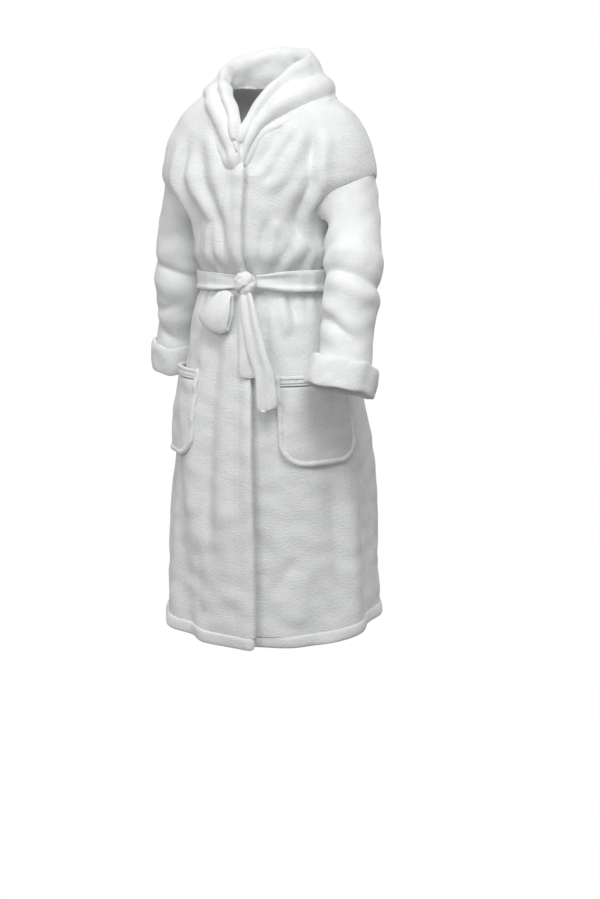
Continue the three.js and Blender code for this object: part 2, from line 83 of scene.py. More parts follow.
def spline(points, amounts):
    # a smooth line through points (k, ..., 3) at amounts from 0 to 1, each stretch a cubic through its neighbours
    points = np.asarray(points, float)
    last = len(points) - 1
    x = np.clip(np.asarray(amounts, float), 0.0, 1.0) * last
    i = np.minimum(x.astype(int), last - 1)
    t = (x - i).reshape((-1,) + (1,) * (points.ndim - 1))
    before, after = np.maximum(i - 1, 0), np.minimum(i + 2, last)
    a, b, c, d = points[before], points[i], points[i + 1], points[after]
    return 0.5 * (2 * b + (c - a) * t + (2 * a - 5 * b + 4 * c - d) * t ** 2 + (3 * b - a - 3 * c + d) * t ** 3)


def unit(v):
    return v / np.maximum(np.linalg.norm(v, axis=-1, keepdims=True), 1e-12)


def normalsOf(points):
    # the surface normal at each grid point, from its neighbours along rows and columns
    return unit(np.cross(np.gradient(points, axis=1), np.gradient(points, axis=0)))


def softNoise(points, wavelength, seed):
    # the sum of 28 plane waves of about one wavelength, in random directions
    rng = np.random.default_rng(seed)
    direction = unit(rng.normal(size=(28, 3)))
    size = 2 * np.pi / (wavelength * rng.uniform(0.7, 1.5, 28))
    phase = rng.uniform(0, 2 * np.pi, 28)
    return np.sin(points @ (direction * size[:, None]).T + phase).sum(-1) / math.sqrt(28 / 2.0)


def hexColour(text):
    # an sRGB hex value as linear colour
    srgb = [int(text[i:i + 2], 16) / 255 for i in (1, 3, 5)]
    return [c / 12.92 if c <= 0.04045 else ((c + 0.055) / 1.055) ** 2.4 for c in srgb] + [1.0]


def gridMesh(name, points, closeColumns=False, closeRows=False, uv=None, capRows=False):
    # quads between the points of a grid (rows, columns, 3); capRows closes the two end rows with one face each
    rows, columns = points.shape[:2]
    index = np.arange(rows * columns).reshape(rows, columns)
    if closeColumns:
        index = np.concatenate([index, index[:, :1]], axis=1)
    if closeRows:
        index = np.concatenate([index, index[:1]], axis=0)
    quads = np.stack([index[:-1, :-1], index[:-1, 1:], index[1:, 1:], index[1:, :-1]], -1).reshape(-1, 4)
    mesh = bpy.data.meshes.new(name)
    faces = quads.tolist()
    if capRows:
        faces += [index[0, :columns][::-1].tolist(), index[-1, :columns].tolist()]
    mesh.from_pydata(points.reshape(-1, 3).tolist(), [], faces)
    mesh.update()
    if closeColumns and (capRows or closeRows):
        # a closed shell whose volume is negative is inside out
        volume = sum(f.area * f.center.dot(f.normal) for f in mesh.polygons)
        if volume < 0:
            mesh.flip_normals()
    if uv is not None:
        layer = mesh.uv_layers.new(name="cloth")
        corners = np.empty(len(mesh.loops), int)
        mesh.loops.foreach_get("vertex_index", corners)
        layer.data.foreach_set("uv", uv.reshape(-1, 2)[corners].astype(np.float32).ravel())
    mesh.shade_smooth()
    piece = bpy.data.objects.new(name, mesh)
    bpy.context.scene.collection.objects.link(piece)
    return piece


def thicken(piece, thickness, levels=1):
    # walls the sheet on both sides and rounds its edges
    if thickness:
        wall = piece.modifiers.new("wall", "SOLIDIFY")
        wall.thickness = thickness
        wall.offset = 0
        wall.use_quality_normals = True
    if levels:
        rounding = piece.modifiers.new("rounding", "SUBSURF")
        rounding.levels = rounding.render_levels = levels
    return piece


def clothArea(points, closeColumns=False):
    # the middle surface's area in square metres, as two triangles in each cell of the grid
    p = np.concatenate([points, points[:, :1]], axis=1) if closeColumns else points
    a, b, c, d = p[:-1, :-1], p[:-1, 1:], p[1:, 1:], p[1:, :-1]
    first = np.linalg.norm(np.cross(b - a, c - a), axis=-1)
    second = np.linalg.norm(np.cross(c - a, d - a), axis=-1)
    return float(0.5 * (first + second).sum())


def roundedBox(turn, power):
    # across and out on a section between an oval (power 1) and a box (power 0), each from -1 to 1
    return (np.sign(np.cos(turn)) * np.abs(np.cos(turn)) ** power,
            np.sign(np.sin(turn)) * np.abs(np.sin(turn)) ** power)


def endShrink(count, rows, least):
    # a section's size along a strip: full, but falling like a quarter circle to the root of least over the end rows
    ends = np.minimum(np.arange(count), np.arange(count)[::-1])[:, None]
    return np.sqrt(np.clip(1 - (1 - np.clip(ends / rows, 0, 1)) ** 2, least, 1))


def addNode(tree, kind, links=None, **settings):
    # one node with its settings, its sockets' values and its links
    node = tree.nodes.new(kind)
    for key, value in settings.items():
        if key == "inputs":
            for socket, amount in value.items():
                node.inputs[socket].default_value = amount
        else:
            setattr(node, key, value)
    for socket, source in (links or {}).items():
        tree.links.new(source, node.inputs[socket])
    return node


fleeceLook = {
    "paintedPileLight": "#f2f3f3",  # painted light on the tips of the pile
    "paintedPileShade": "#e9eaea",  # painted shade between the tufts
    "tuft": 0.0042,  # metres across a tuft, drawn coarser than the real pile of about 1 mm so that it shows
    "mottle": 0.030,  # patches where the nap lies another way, raised a little in the bump and given painted light and shade in the colour
    "bump": 0.0011,
    "roughness": 0.93,
    "sheen": 0.45,
}


def fleeceMaterial(name, look, stitches=(), stretch=(1.0, 1.0, 1.0), pull=1.6):
    # Polyester coral fleece: knitted, raised and sheared, so it has a dense soft nap that lights up at its edges
    # and breaks into small tufts. stitches are the places, in metres along the cloth's own map, of sewn lines, and
    # pull is how hard their thread draws in.
    material = bpy.data.materials.new(name)
    material.use_nodes = True
    tree = material.node_tree
    shader = tree.nodes["Principled BSDF"]
    shader.inputs["Roughness"].default_value = look["roughness"]
    shader.inputs["IOR"].default_value = 1.45
    shader.inputs["Specular IOR Level"].default_value = 0.15
    shader.inputs["Sheen Weight"].default_value = look["sheen"]
    shader.inputs["Sheen Roughness"].default_value = 0.55
    place = addNode(tree, "ShaderNodeTexCoord")
    scaled = addNode(tree, "ShaderNodeMapping", {"Vector": place.outputs["Object"]}, inputs={"Scale": stretch})
    tuft = addNode(tree, "ShaderNodeTexNoise", {"Vector": scaled.outputs[0]},
                   inputs={"Scale": 1 / look["tuft"], "Detail": 3.0, "Roughness": 0.62})
    mottle = addNode(tree, "ShaderNodeTexNoise", {"Vector": scaled.outputs[0]},
                     inputs={"Scale": 1 / look["mottle"], "Detail": 2.0, "Roughness": 0.5})
    blend = addNode(tree, "ShaderNodeMath", {0: tuft.outputs[0], 1: mottle.outputs[0]}, operation="ADD")
    # the colour is painted: painted light on the tips of the tufts, painted shade between them and in the mottle's
    # darker patches
    ramp = addNode(tree, "ShaderNodeValToRGB", {0: blend.outputs[0]})
    ramp.color_ramp.elements[0].position, ramp.color_ramp.elements[1].position = 0.72, 1.18
    ramp.color_ramp.elements[0].color = hexColour(look["paintedPileShade"])
    ramp.color_ramp.elements[1].color = hexColour(look["paintedPileLight"])
    tree.links.new(ramp.outputs[0], shader.inputs["Base Color"])
    height = addNode(tree, "ShaderNodeMath", {0: mottle.outputs[0], 1: tuft.outputs[0]}, operation="MULTIPLY_ADD")
    height.inputs[1].default_value = 0.35
    tree.links.new(tuft.outputs[0], height.inputs[2])
    result = height.outputs[0]
    if stitches:
        cloth = addNode(tree, "ShaderNodeUVMap", uv_map="cloth")
        axes = addNode(tree, "ShaderNodeSeparateXYZ", {0: cloth.outputs[0]})
        for axis, where in stitches:
            # a sewn line presses a groove 2 mm wide into the nap
            distance = addNode(tree, "ShaderNodeMath", {0: axes.outputs[axis]}, operation="SUBTRACT", inputs={1: where})
            away = addNode(tree, "ShaderNodeMath", {0: distance.outputs[0]}, operation="ABSOLUTE")
            groove = addNode(tree, "ShaderNodeMapRange", {0: away.outputs[0]}, interpolation_type="SMOOTHSTEP",
                             inputs={1: 0.0004, 2: 0.0022, 3: -pull, 4: 0.0})
            result = addNode(tree, "ShaderNodeMath", {0: result, 1: groove.outputs[0]}, operation="ADD").outputs[0]
    relief = addNode(tree, "ShaderNodeBump", {"Height": result}, inputs={"Strength": 1.0, "Distance": look["bump"]})
    tree.links.new(relief.outputs[0], shader.inputs["Normal"])
    return material


def tapeMaterial(name, colour, rib):
    # Woven cotton tape: fine ribs across it, matt, with painted shade a little darker between them
    material = bpy.data.materials.new(name)
    material.use_nodes = True
    tree = material.node_tree
    shader = tree.nodes["Principled BSDF"]
    shader.inputs["Roughness"].default_value = 0.8
    shader.inputs["Sheen Weight"].default_value = 0.2
    place = addNode(tree, "ShaderNodeTexCoord")
    ribs = addNode(tree, "ShaderNodeTexWave", {"Vector": place.outputs["Object"]}, bands_direction="DIAGONAL",
                   inputs={"Scale": 0.31 / rib, "Distortion": 0.6, "Detail": 2.0})
    ramp = addNode(tree, "ShaderNodeValToRGB", {0: ribs.outputs[1]})
    # painted shade: the colour between the ribs is darkened
    ramp.color_ramp.elements[0].color = [c * 0.86 for c in hexColour(colour)[:3]] + [1]
    ramp.color_ramp.elements[1].color = hexColour(colour)
    tree.links.new(ramp.outputs[0], shader.inputs["Base Color"])
    relief = addNode(tree, "ShaderNodeBump", {"Height": ribs.outputs[1]}, inputs={"Strength": 0.6, "Distance": 0.0004})
    tree.links.new(relief.outputs[0], shader.inputs["Normal"])
    return material


bodyFleece = fleeceMaterial("plushFleeceBody", fleeceLook, stretch=(0.8, 0.8, 1.5))
edgeFleece = fleeceMaterial("plushFleeceFrontEdge", fleeceLook, stitches=[(0, 0.036)], stretch=(0.8, 0.8, 1.5),
                            pull=0.55)
bandFleece = fleeceMaterial("plushFleecePocketBand", fleeceLook, stitches=[(1, 0.008), (1, 0.016)])
softFleece = fleeceMaterial("plushFleeceSoft", {**fleeceLook, "bump": 0.0008})
loopTape = tapeMaterial("wovenCottonTape", "#e9e9e6", 0.0012)
labelSatin = tapeMaterial("wovenSatinLabel", "#e4e4df", 0.0007)


body = {
    "z": [-1.083, -0.690, -0.550, -0.440, -0.367, -0.255, -0.165, -0.115, -0.058, -0.020, 0.005],
    "side": [0.212, 0.185, 0.160, 0.143, 0.122, 0.134, 0.214, 0.205, 0.176, 0.126, 0.074],
    "front": [0.142, 0.141, 0.138, 0.130, 0.114, 0.138, 0.134, 0.127, 0.111, 0.092, 0.066],
    "back": [0.262, 0.222, 0.188, 0.148, 0.110, 0.126, 0.130, 0.129, 0.122, 0.106, 0.078],
    "hemLift": 0.060,
    "hemLiftFrom": 0.440,
    "cloth": 0.0052,
    "skirtWaves": [(0.0050, 5, 40, 30), (0.0058, 9, 100, -60), (0.0034, 14, 10, 90)],
    "foldStrength": 1.25,
    "gatherCount": 30,
    "gatherHeight": 0.0026,
}
sideAt = monotone(body["z"], body["side"])
frontAt = monotone(body["z"], body["front"])
backAt = monotone(body["z"], body["back"])
hemHeight, waistHeight, armpitHeight, dropSeamHeight, neckHeight = -1.083, -0.367, -0.255, -0.165, 0.005

# Folds: height, width, and the points that each runs through, as angle and height on the body. foldRadius turns the
# angle into a distance.
foldRadius = 0.16
foldLines = [
    (-0.0060, 0.011, [(24.7, -0.070), (13.7, -0.129), (7.2, -0.165)]),
    (0.0050, 0.012, [(30, -0.066), (18, -0.128), (10, -0.175)]),
    (-0.0050, 0.010, [(32, -0.085), (20, -0.135), (12.4, -0.185)]),
    (0.0045, 0.013, [(38, -0.080), (26, -0.140), (17, -0.200)]),
    (-0.0030, 0.012, [(44, -0.085), (31, -0.150), (22, -0.215)]),
    (-0.0090, 0.012, [(43, -0.070), (37.3, -0.150), (40, -0.208), (52, -0.300)]),
    (0.0080, 0.014, [(49, -0.080), (43, -0.160), (49, -0.225), (60, -0.300)]),
    (0.0040, 0.016, [(32, -0.110), (30, -0.180), (36, -0.260), (46, -0.320)]),
    (-0.0045, 0.010, [(22.9, -0.245), (14.2, -0.345)]),
    (0.0045, 0.012, [(31, -0.240), (19, -0.345)]),
    (-0.0045, 0.010, [(43.2, -0.290), (24, -0.345)]),
    (0.0050, 0.013, [(52, -0.280), (34, -0.345)]),
    (-0.0045, 0.010, [(60, -0.300), (46, -0.350)]),
    (-0.0050, 0.009, [(-14, -0.095), (-6.6, -0.135)]),
    (0.0060, 0.015, [(-20, -0.080), (-14, -0.150), (-8, -0.240), (-3, -0.330)]),
    (-0.0050, 0.014, [(-26, -0.090), (-21, -0.170), (-15, -0.250), (-8, -0.335)]),
    (0.0050, 0.014, [(-31, -0.120), (-28, -0.200), (-23, -0.280), (-15, -0.345)]),
    (-0.0070, 0.012, [(-34, -0.090), (-38.4, -0.190), (-48, -0.300)]),
    (0.0070, 0.014, [(-40, -0.100), (-45, -0.200), (-58, -0.300)]),
    (-0.0040, 0.010, [(-24.1, -0.240), (-22, -0.345)]),
    (0.0040, 0.010, [(-30, -0.260), (-29, -0.345)]),
    (-0.0050, 0.010, [(36.5, -0.388), (43.7, -0.440)]),
    (0.0050, 0.012, [(30, -0.388), (35, -0.470)]),
    (-0.0050, 0.010, [(19.3, -0.390), (18.5, -0.500), (16, -0.620)]),
    (0.0040, 0.016, [(14, -0.400), (13, -0.600), (12, -0.900)]),
    (0.0060, 0.020, [(-8, -0.400), (-9, -0.620), (-10, -0.900)]),
    (-0.0055, 0.018, [(-17, -0.400), (-19, -0.640), (-20, -0.900)]),
    (0.0050, 0.020, [(-26, -0.400), (-30, -0.660), (-31, -0.940)]),
    (-0.0045, 0.014, [(-30, -0.880), (-23.5, -1.060)]),
    (-0.0028, 0.012, [(33, -0.900), (16.5, -0.985)]),
    (-0.0030, 0.013, [(40, -0.940), (56, -1.050)]),
    (0.0030, 0.020, [(36, -0.930), (33, -1.050)]),
    (-0.0040, 0.020, [(58, -0.740), (60, -0.950), (64, -1.060)]),
]


def lineRidge(x, z, height, width, stops):
    # a ridge along a broken line, fading at its two ends
    px = np.radians([s[0] for s in stops]) * foldRadius
    pz = np.array([s[1] for s in stops])
    best = np.full(x.shape, 1e9)
    along = np.zeros(x.shape)
    lengths = np.hypot(np.diff(px), np.diff(pz))
    start = np.concatenate([[0], np.cumsum(lengths)])
    for i in range(len(lengths)):
        dx, dz = px[i + 1] - px[i], pz[i + 1] - pz[i]
        t = ((x - px[i]) * dx + (z - pz[i]) * dz) / (dx * dx + dz * dz)
        t = np.clip(t, 0, 1)
        d = np.hypot(x - px[i] - t * dx, z - pz[i] - t * dz)
        closer = d < best
        best = np.where(closer, d, best)
        along = np.where(closer, (start[i] + t * lengths[i]) / start[-1], along)
    fade = smooth(along, -0.02, 0.22) * smooth(1 - along, -0.02, 0.22)
    return height * np.exp(-(best / width) ** 2) * fade


def foldField(z, angle):
    # how far the cloth stands off the body's surface at a height and an angle in degrees
    turned = (angle + 180) % 360 - 180
    down = smooth(-z, 0.40, 0.95)
    total = np.zeros(np.broadcast(z, angle).shape)
    frontCalm = 1 - 0.55 * bump(turned, 35, 45)
    for height, count, phase, drift in body["skirtWaves"]:
        total = total + height * down * frontCalm * np.cos(np.radians(count * angle + phase) + drift * (z + 1.0) * 0.1)
    nearWaist = bump(z, waistHeight, 0.050) * (0.5 + 0.5 * smooth(np.abs(turned), 20, 60))
    gatherTurn = body["gatherCount"] * angle + 25 * np.sin(np.radians(3 * angle))
    total = total + body["gatherHeight"] * nearWaist * np.cos(np.radians(gatherTurn))
    blouse = bump(z, waistHeight + 0.056, 0.026) * 0.011 - bump(z, waistHeight, 0.024) * 0.005
    total = total + blouse
    x = np.radians(turned) * foldRadius
    for height, width, stops in foldLines:
        total = total + lineRidge(x, z, height * body["foldStrength"], width, stops)
    return total


def bodyBase(z, angle):
    # half an ellipse in front and half a deeper one behind, at each height; the hem rises a little towards the back
    a = np.radians(angle)
    c = np.cos(a)
    depth = np.where(c > 0, frontAt(z), backAt(z))
    lift = body["hemLift"] * smooth(-z, body["hemLiftFrom"], -hemHeight) * (1 - c) * 0.5
    return np.stack([sideAt(z) * np.sin(a), -depth * c, z + lift], -1)


def onBody(z, angle, lift=0.0, folded=1.0):
    # a point on the cloth at a height and an angle in degrees, raised by lift along the body's normal
    z, angle = np.broadcast_arrays(np.asarray(z, float), np.asarray(angle, float))
    across = bodyBase(z, angle + 0.5) - bodyBase(z, angle - 0.5)
    up = bodyBase(z + 0.001, angle) - bodyBase(z - 0.001, angle)
    normal = unit(np.cross(across, up))
    base = bodyBase(z, angle)
    raised = lift + folded * foldField(z, angle) + 0.0008 * softNoise(base, 0.05, 4) * (np.asarray(folded) > 0)
    return base + normal * np.asarray(raised)[..., None]


wrap = {
    "vBottom": -0.150,
    "neckAngle": 80.0,
    "edgeTop": 3.5,
    "edgeHem": 9.6,
    "underlap": -22.0,
    "underlapRun": 0.090,
    "sideSeam": 90.0,
    "ease": 35.0,
    "lift": 0.0084,
    "armholeAngle": 40.0,
    "seam": 0.16,
}


def neckAngleAt(z):
    # the neckline's angle: its half width shrinks evenly from the neck down to the V
    halfWidth = neckHalfWidth * (z - wrap["vBottom"]) / (neckHeight - wrap["vBottom"])
    return np.degrees(np.arcsin(np.clip(halfWidth / sideAt(z), -1, 1)))


neckHalfWidth = float(sideAt(neckHeight)) * math.sin(math.radians(wrap["neckAngle"]))


def rightEdge(z):
    # the free edge's angle: along the neckline, then down and slowly towards the wearer's left
    above = mix(wrap["edgeTop"], -wrap["neckAngle"], neckAngleAt(z) / wrap["neckAngle"])
    below = mix(wrap["edgeTop"], wrap["edgeHem"], smooth(-z, 0.34, 0.60))
    return np.where(z > wrap["vBottom"], above, below)


def leftEdge(z):
    # the hidden edge's angle: along the neckline, then in under the other front
    below = wrap["underlap"] * smooth(wrap["vBottom"] - z, 0, wrap["underlapRun"])
    return np.where(z > wrap["vBottom"], neckAngleAt(z), below)


def rightLift(angle):
    # the right front's height over the left one, none at the side seam and all of it past the ease
    return wrap["lift"] * smooth(angle, -wrap["sideSeam"], -wrap["sideSeam"] + wrap["ease"])


def freeEdge(z, angle):
    # the right front's edge is rolled to twice its thickness, and hangs away from the left front in the skirt
    inward = np.radians(rightEdge(z) - angle) * 0.13
    below = smooth(wrap["vBottom"] + 0.03 - z, 0, 0.05) * (1 - 0.8 * bump(z, waistHeight, 0.030))
    roll = 0.0058 * bump(inward, 0.0075, 0.0085) * below
    chest = 0.0050 * (1 - smooth(inward, 0, 0.030)) * below * (1 - smooth(-z, 0.36, 0.46))
    flare = 0.0125 * (1 - smooth(inward, 0, 0.045)) * smooth(-z, 0.50, 0.72)
    return roll + chest + flare


def armholeCut(z):
    # how far the armhole cuts in from the side seam, in degrees: an oval between the armpit and the drop seam
    t = np.clip((z - armpitHeight) / (dropSeamHeight - armpitHeight), 0, 1)
    return wrap["armholeAngle"] * 2 * np.sqrt(t * (1 - t))


def panelHeights(top, bottom, step):
    # rows step apart, crowded towards the armhole's two ends, where its edge turns
    turn = 0.5 - 0.5 * np.cos(np.linspace(0, np.pi, 17))
    spans = [(top, dropSeamHeight, None), (dropSeamHeight, armpitHeight, turn), (armpitHeight, bottom, None)]
    rows = [mix(a, b, t if t is not None else np.linspace(0, 1, int(round((a - b) / step)) + 1)) for a, b, t in spans]
    return np.unique(np.concatenate(rows))[::-1]


def makePanel(name, edges, columns, lift, top=neckHeight, bottom=hemHeight + 0.020, step=0.009,
              thickness=None, material=bodyFleece, along=0):
    # columns spread evenly between neighbouring edges at every height; the cloth's map is measured from edge
    # number along
    if top > dropSeamHeight:
        z = panelHeights(top, bottom, step)
    else:
        z = np.linspace(top, bottom, int((top - bottom) / step))
    z = z[:, None]
    angle = [edges[0](z) + 0 * z]
    for start, end, count in zip(edges[:-1], edges[1:], columns):
        angle.append(mix(start(z), end(z) + 0 * z, np.linspace(0, 1, count + 1)[None, 1:]))
    angle = np.concatenate(angle, axis=1)
    points = onBody(z, angle, lift(z, angle))
    width = np.radians(angle - edges[along](z)) * sideAt(z)
    uv = np.stack([np.abs(width), np.broadcast_to(z, angle.shape)], -1)
    piece = gridMesh(name, points, uv=uv)
    piece.data.materials.append(material)
    thicken(piece, thickness or body["cloth"])
    return piece, clothArea(points)


half = body["cloth"] / 2
seam = wrap["seam"]
calmAngle = 90 - wrap["armholeAngle"] - 3  # columns nearer to the middle than this angle don't bend round the armhole
backPanel, backArea = makePanel(
    "backPanel", [lambda z: 90 + seam + armholeCut(z), lambda z: 180 - calmAngle, lambda z: 180 + calmAngle,
                  lambda z: 270 - seam - armholeCut(z)], [18, 48, 18], lambda z, a: half)
leftFront, leftArea = makePanel(
    "frontPanelLeft", [leftEdge, lambda z: np.maximum(calmAngle, leftEdge(z) + 4),
                       lambda z: np.maximum(90 - seam - armholeCut(z), leftEdge(z) + 6)], [50, 26], lambda z, a: half)
rightFront, rightArea = makePanel(
    "frontPanelRight", [lambda z: np.minimum(-90 + seam + armholeCut(z), rightEdge(z) - 6),
                        lambda z: np.minimum(-calmAngle, rightEdge(z) - 4), rightEdge], [26, 50],
    lambda z, a: rightLift(a) + half + freeEdge(z, a), material=edgeFleece, along=2)
print("panels", round(backArea, 3), round(leftArea, 3), round(rightArea, 3))

facing = {"angle": 12.5, "cloth": 0.0026, "gap": 0.0010}
facingLeft, facingLeftArea = makePanel(
    "frontFacingLeft", [leftEdge, lambda z: leftEdge(z) + facing["angle"]], [10],
    lambda z, a: -facing["gap"] - facing["cloth"] / 2,
    top=wrap["vBottom"], thickness=facing["cloth"], material=softFleece)
facingRight, facingRightArea = makePanel(
    "frontFacingRight", [lambda z: rightEdge(z) - facing["angle"], rightEdge], [10],
    lambda z, a: rightLift(a) - facing["gap"] - facing["cloth"] / 2 + 0.7 * freeEdge(z, a),
    top=wrap["vBottom"], thickness=facing["cloth"], material=softFleece)
print("facings", round(facingLeftArea, 3), round(facingRightArea, 3))

hemBand = {"height": 0.026, "thickness": 0.0105, "pucker": 0.0011, "puckerCount": 150}


def makeHemBand(name, fromAngle, toAngle, columns, lift, raisedStart=0.0):
    # a rounded section, taller than thick, carried along the hem; the last few rows close it
    angle = np.linspace(fromAngle, toAngle, columns)[:, None]
    turn = np.linspace(0, 2 * np.pi, 16, endpoint=False)[None, :]
    shrink = endShrink(columns, 2.0, 0.04)
    tall, deep = roundedBox(turn, 0.75)
    tall = tall * hemBand["height"] / 2 * (0.5 + 0.5 * shrink)
    deep = deep * hemBand["thickness"] / 2 * shrink
    diagonal = np.cos(np.radians(angle * hemBand["puckerCount"]) + 2.2 * np.cos(turn)) * hemBand["pucker"]
    diagonal = diagonal * (0.35 + 0.65 * smooth(np.abs((angle + 180) % 360 - 180), 25, 60)) * (np.sin(turn) > 0.2)
    # raisedStart takes the first end up, so that it stays hidden under the layer over it
    z = hemHeight + hemBand["height"] / 2 + tall + raisedStart * (1 - smooth(angle, fromAngle, fromAngle + 36))
    points = onBody(z, angle + 0 * z, lift(angle) + half + deep + diagonal)
    piece = gridMesh(name, points, closeColumns=True, capRows=True)
    piece.data.materials.append(softFleece)
    thicken(piece, 0)
    return piece, clothArea(points, True)


hemMiddle = hemHeight + hemBand["height"] / 2
hemLeftStart, hemRightEnd = float(leftEdge(np.array(hemMiddle))), float(rightEdge(np.array(hemMiddle)))
hemBack, hemBackArea = makeHemBand("hemBandBack", 90 + seam, 270 - seam, 190, lambda a: 0 * a)
hemLeft, hemLeftArea = makeHemBand("hemBandLeft", hemLeftStart, 90 - seam, 120,
                                   lambda a: -0.004 * smooth(-a, -40, -8), 0.004)
hemRight, hemRightArea = makeHemBand("hemBandRight", -90 + seam, hemRightEnd, 110,
                                     lambda a: rightLift(a) * 1.15 + 0.9 * freeEdge(hemMiddle, a))
print("hem bands", round(hemBackArea, 3), round(hemLeftArea, 3), round(hemRightArea, 3))

sleeve = {
    "upper": 0.048, "elbow": 0.046, "end": 0.049,
    "pastWrist": 0.028,
    "swell": 0.014,
    "rootOut": 0.215, "rootIn": 0.134,  # how far out the armhole's top and bottom are
    # lean is the way that the cuff's axis points, downwards
    "left": {"middle": (0.195, -0.046, -0.290), "elbowPoint": (0.210, -0.092, -0.372), "wrist": (0.209, -0.140, -0.537),
             "lean": (-0.13, -0.27, -0.954), "narrow": 1.0, "deep": 1.0},
    "right": {"middle": (0.190, 0.002, -0.290), "elbowPoint": (0.200, 0.010, -0.375), "wrist": (0.231, 0.058, -0.526),
              "lean": (0.12, 0.20, -0.97), "narrow": 0.8, "deep": 1.14},
}
cuff = {"height": 0.058, "thickness": 0.0135, "clearance": -0.0012, "flare": 0.0015}


def armLine(side):
    # the arm's centre line, the way its end points, and its wrist
    shape = sleeve[side]
    wrist, joint, along = np.array(shape["wrist"]), np.array(shape["elbowPoint"]), unit(np.array(shape["lean"]))
    start = np.array([(sleeve["rootOut"] + sleeve["rootIn"]) / 2, 0.0, (dropSeamHeight + armpitHeight) / 2])
    before, after = wrist - along * sleeve["pastWrist"], wrist + along * sleeve["pastWrist"]
    return np.array([start, shape["middle"], joint, mix(joint, before, 0.5), before, wrist, after]), along, wrist


def chordSpline(stops, amounts):
    # a smooth line through points at shares of its length
    length = np.concatenate([[0], np.cumsum(np.linalg.norm(np.diff(stops, axis=0), axis=1))])
    curves = [monotone(length, stops[:, i]) for i in range(3)]
    return np.stack([curve(amounts * length[-1]) for curve in curves], -1), length[-1]


def armholeEdge(turn, lift):
    # the sleeve's first ring: the armhole's oval on the body
    t = (1 + np.cos(turn)) / 2
    # it starts a little outside the panels' cut and under them, as a seam turned in
    angle = 90 - (wrap["armholeAngle"] + 1.4) * np.sin(turn)
    z = mix(armpitHeight - 0.003, dropSeamHeight + 0.003, t)
    return onBody(z, angle, lift, 0.0)


# Creases round the sleeves: height, width along the arm, place along it, how much lower it runs on the outside,
# the side it faces, as a turn from the outside, and how far round it reaches
sleeveFolds = {
    "left": [
        (0.0080, 0.024, 0.142, 0.006, 0.9, 1.8), (-0.0130, 0.0085, 0.178, 0.012, 1.0, 1.5),
        (0.0070, 0.016, 0.202, 0.014, 0.8, 1.6), (-0.0075, 0.009, 0.278, 0.030, 1.9, 0.9),
        (0.0060, 0.016, 0.256, 0.030, 1.9, 1.0), (0.0045, 0.016, 0.306, 0.030, 1.7, 1.1),
        (-0.0045, 0.010, 0.100, -0.030, 2.3, 1.0), (0.0040, 0.014, 0.078, -0.030, 2.3, 1.0),
    ],
    "right": [
        (-0.0032, 0.012, 0.082, 0.026, 1.7, 0.9), (0.0042, 0.022, 0.104, 0.006, 1.6, 1.6),
        (-0.0085, 0.008, 0.140, -0.012, 1.9, 1.5), (0.0048, 0.020, 0.172, -0.008, 1.6, 1.6),
        (-0.0036, 0.010, 0.208, 0.026, 1.1, 0.9), (0.0030, 0.020, 0.238, 0.010, 1.6, 1.6),
        (-0.0046, 0.010, 0.270, -0.022, 1.5, 1.1), (0.0030, 0.016, 0.294, 0.004, 1.6, 1.6),
    ],
}


def ringOf(side, turn, along, raised):
    # a point round the arm: turn 0 is its outside, a quarter turn its front
    stops, _, _ = armLine(side)
    centre, length = chordSpline(stops, along)
    ahead, _ = chordSpline(stops, np.clip(along + 0.01, 0, 1))
    behind, _ = chordSpline(stops, np.clip(along - 0.01, 0, 1))
    tangent = unit(ahead - behind)
    forward = np.array([0.0, -1.0, 0.0])
    front = unit(forward - tangent * (tangent @ forward)[..., None])
    out = np.cross(front, tangent)
    radius = monotone([0, 0.3, 0.55, 0.75, 1],
                      [sleeve["upper"], sleeve["upper"], sleeve["elbow"], sleeve["elbow"] - 0.002, sleeve["end"]])
    flat = smooth(along, 0.5, 0.8)
    width, depth = mix(1, sleeve[side]["narrow"], flat), mix(1, sleeve[side]["deep"], flat)
    size = radius(along) + raised
    around = out * (size * width * np.cos(turn))[..., None]
    return centre + around + front * (size * depth * np.sin(turn))[..., None], length


def makeSleeve(name, side):
    # rings round the arm's line with the creases on them, mixed into the armhole's oval over the first third
    sign = 1 if side == "left" else -1
    along = np.linspace(0, 1, 64)[:, None]
    turn = np.linspace(0, 2 * np.pi, 52, endpoint=False)[None, :]
    along, turn = np.broadcast_arrays(along, turn)
    _, length = ringOf(side, turn, along, 0 * along)
    run = along * length
    raised = 0 * along + half
    for height, width, place, slant, facingTurn, spread in sleeveFolds[side]:
        away = np.abs((turn - facingTurn + np.pi) % (2 * np.pi) - np.pi)
        where = place + slant * np.cos(turn)
        raised = raised + height * np.exp(-((run - where) / width) ** 2) * np.exp(-(away / spread) ** 4)
    ring, _ = ringOf(side, turn, along, raised)
    blend = smooth(along, 0, 0.3)
    points = mix(armholeEdge(turn, half - 0.0032), ring, blend[..., None])
    points[..., 0] += sleeve["swell"] * 4 * blend * (1 - blend) * (1 - np.cos(turn)) * 0.5
    points = points + normalsOf(points) * (0.0009 * softNoise(points, 0.045, 9))[..., None]
    points[..., 0] *= sign
    piece = gridMesh(name, points, closeColumns=True)
    if sign > 0:
        piece.data.flip_normals()
    piece.data.materials.append(softFleece)
    thicken(piece, body["cloth"])
    return piece, clothArea(points, True)


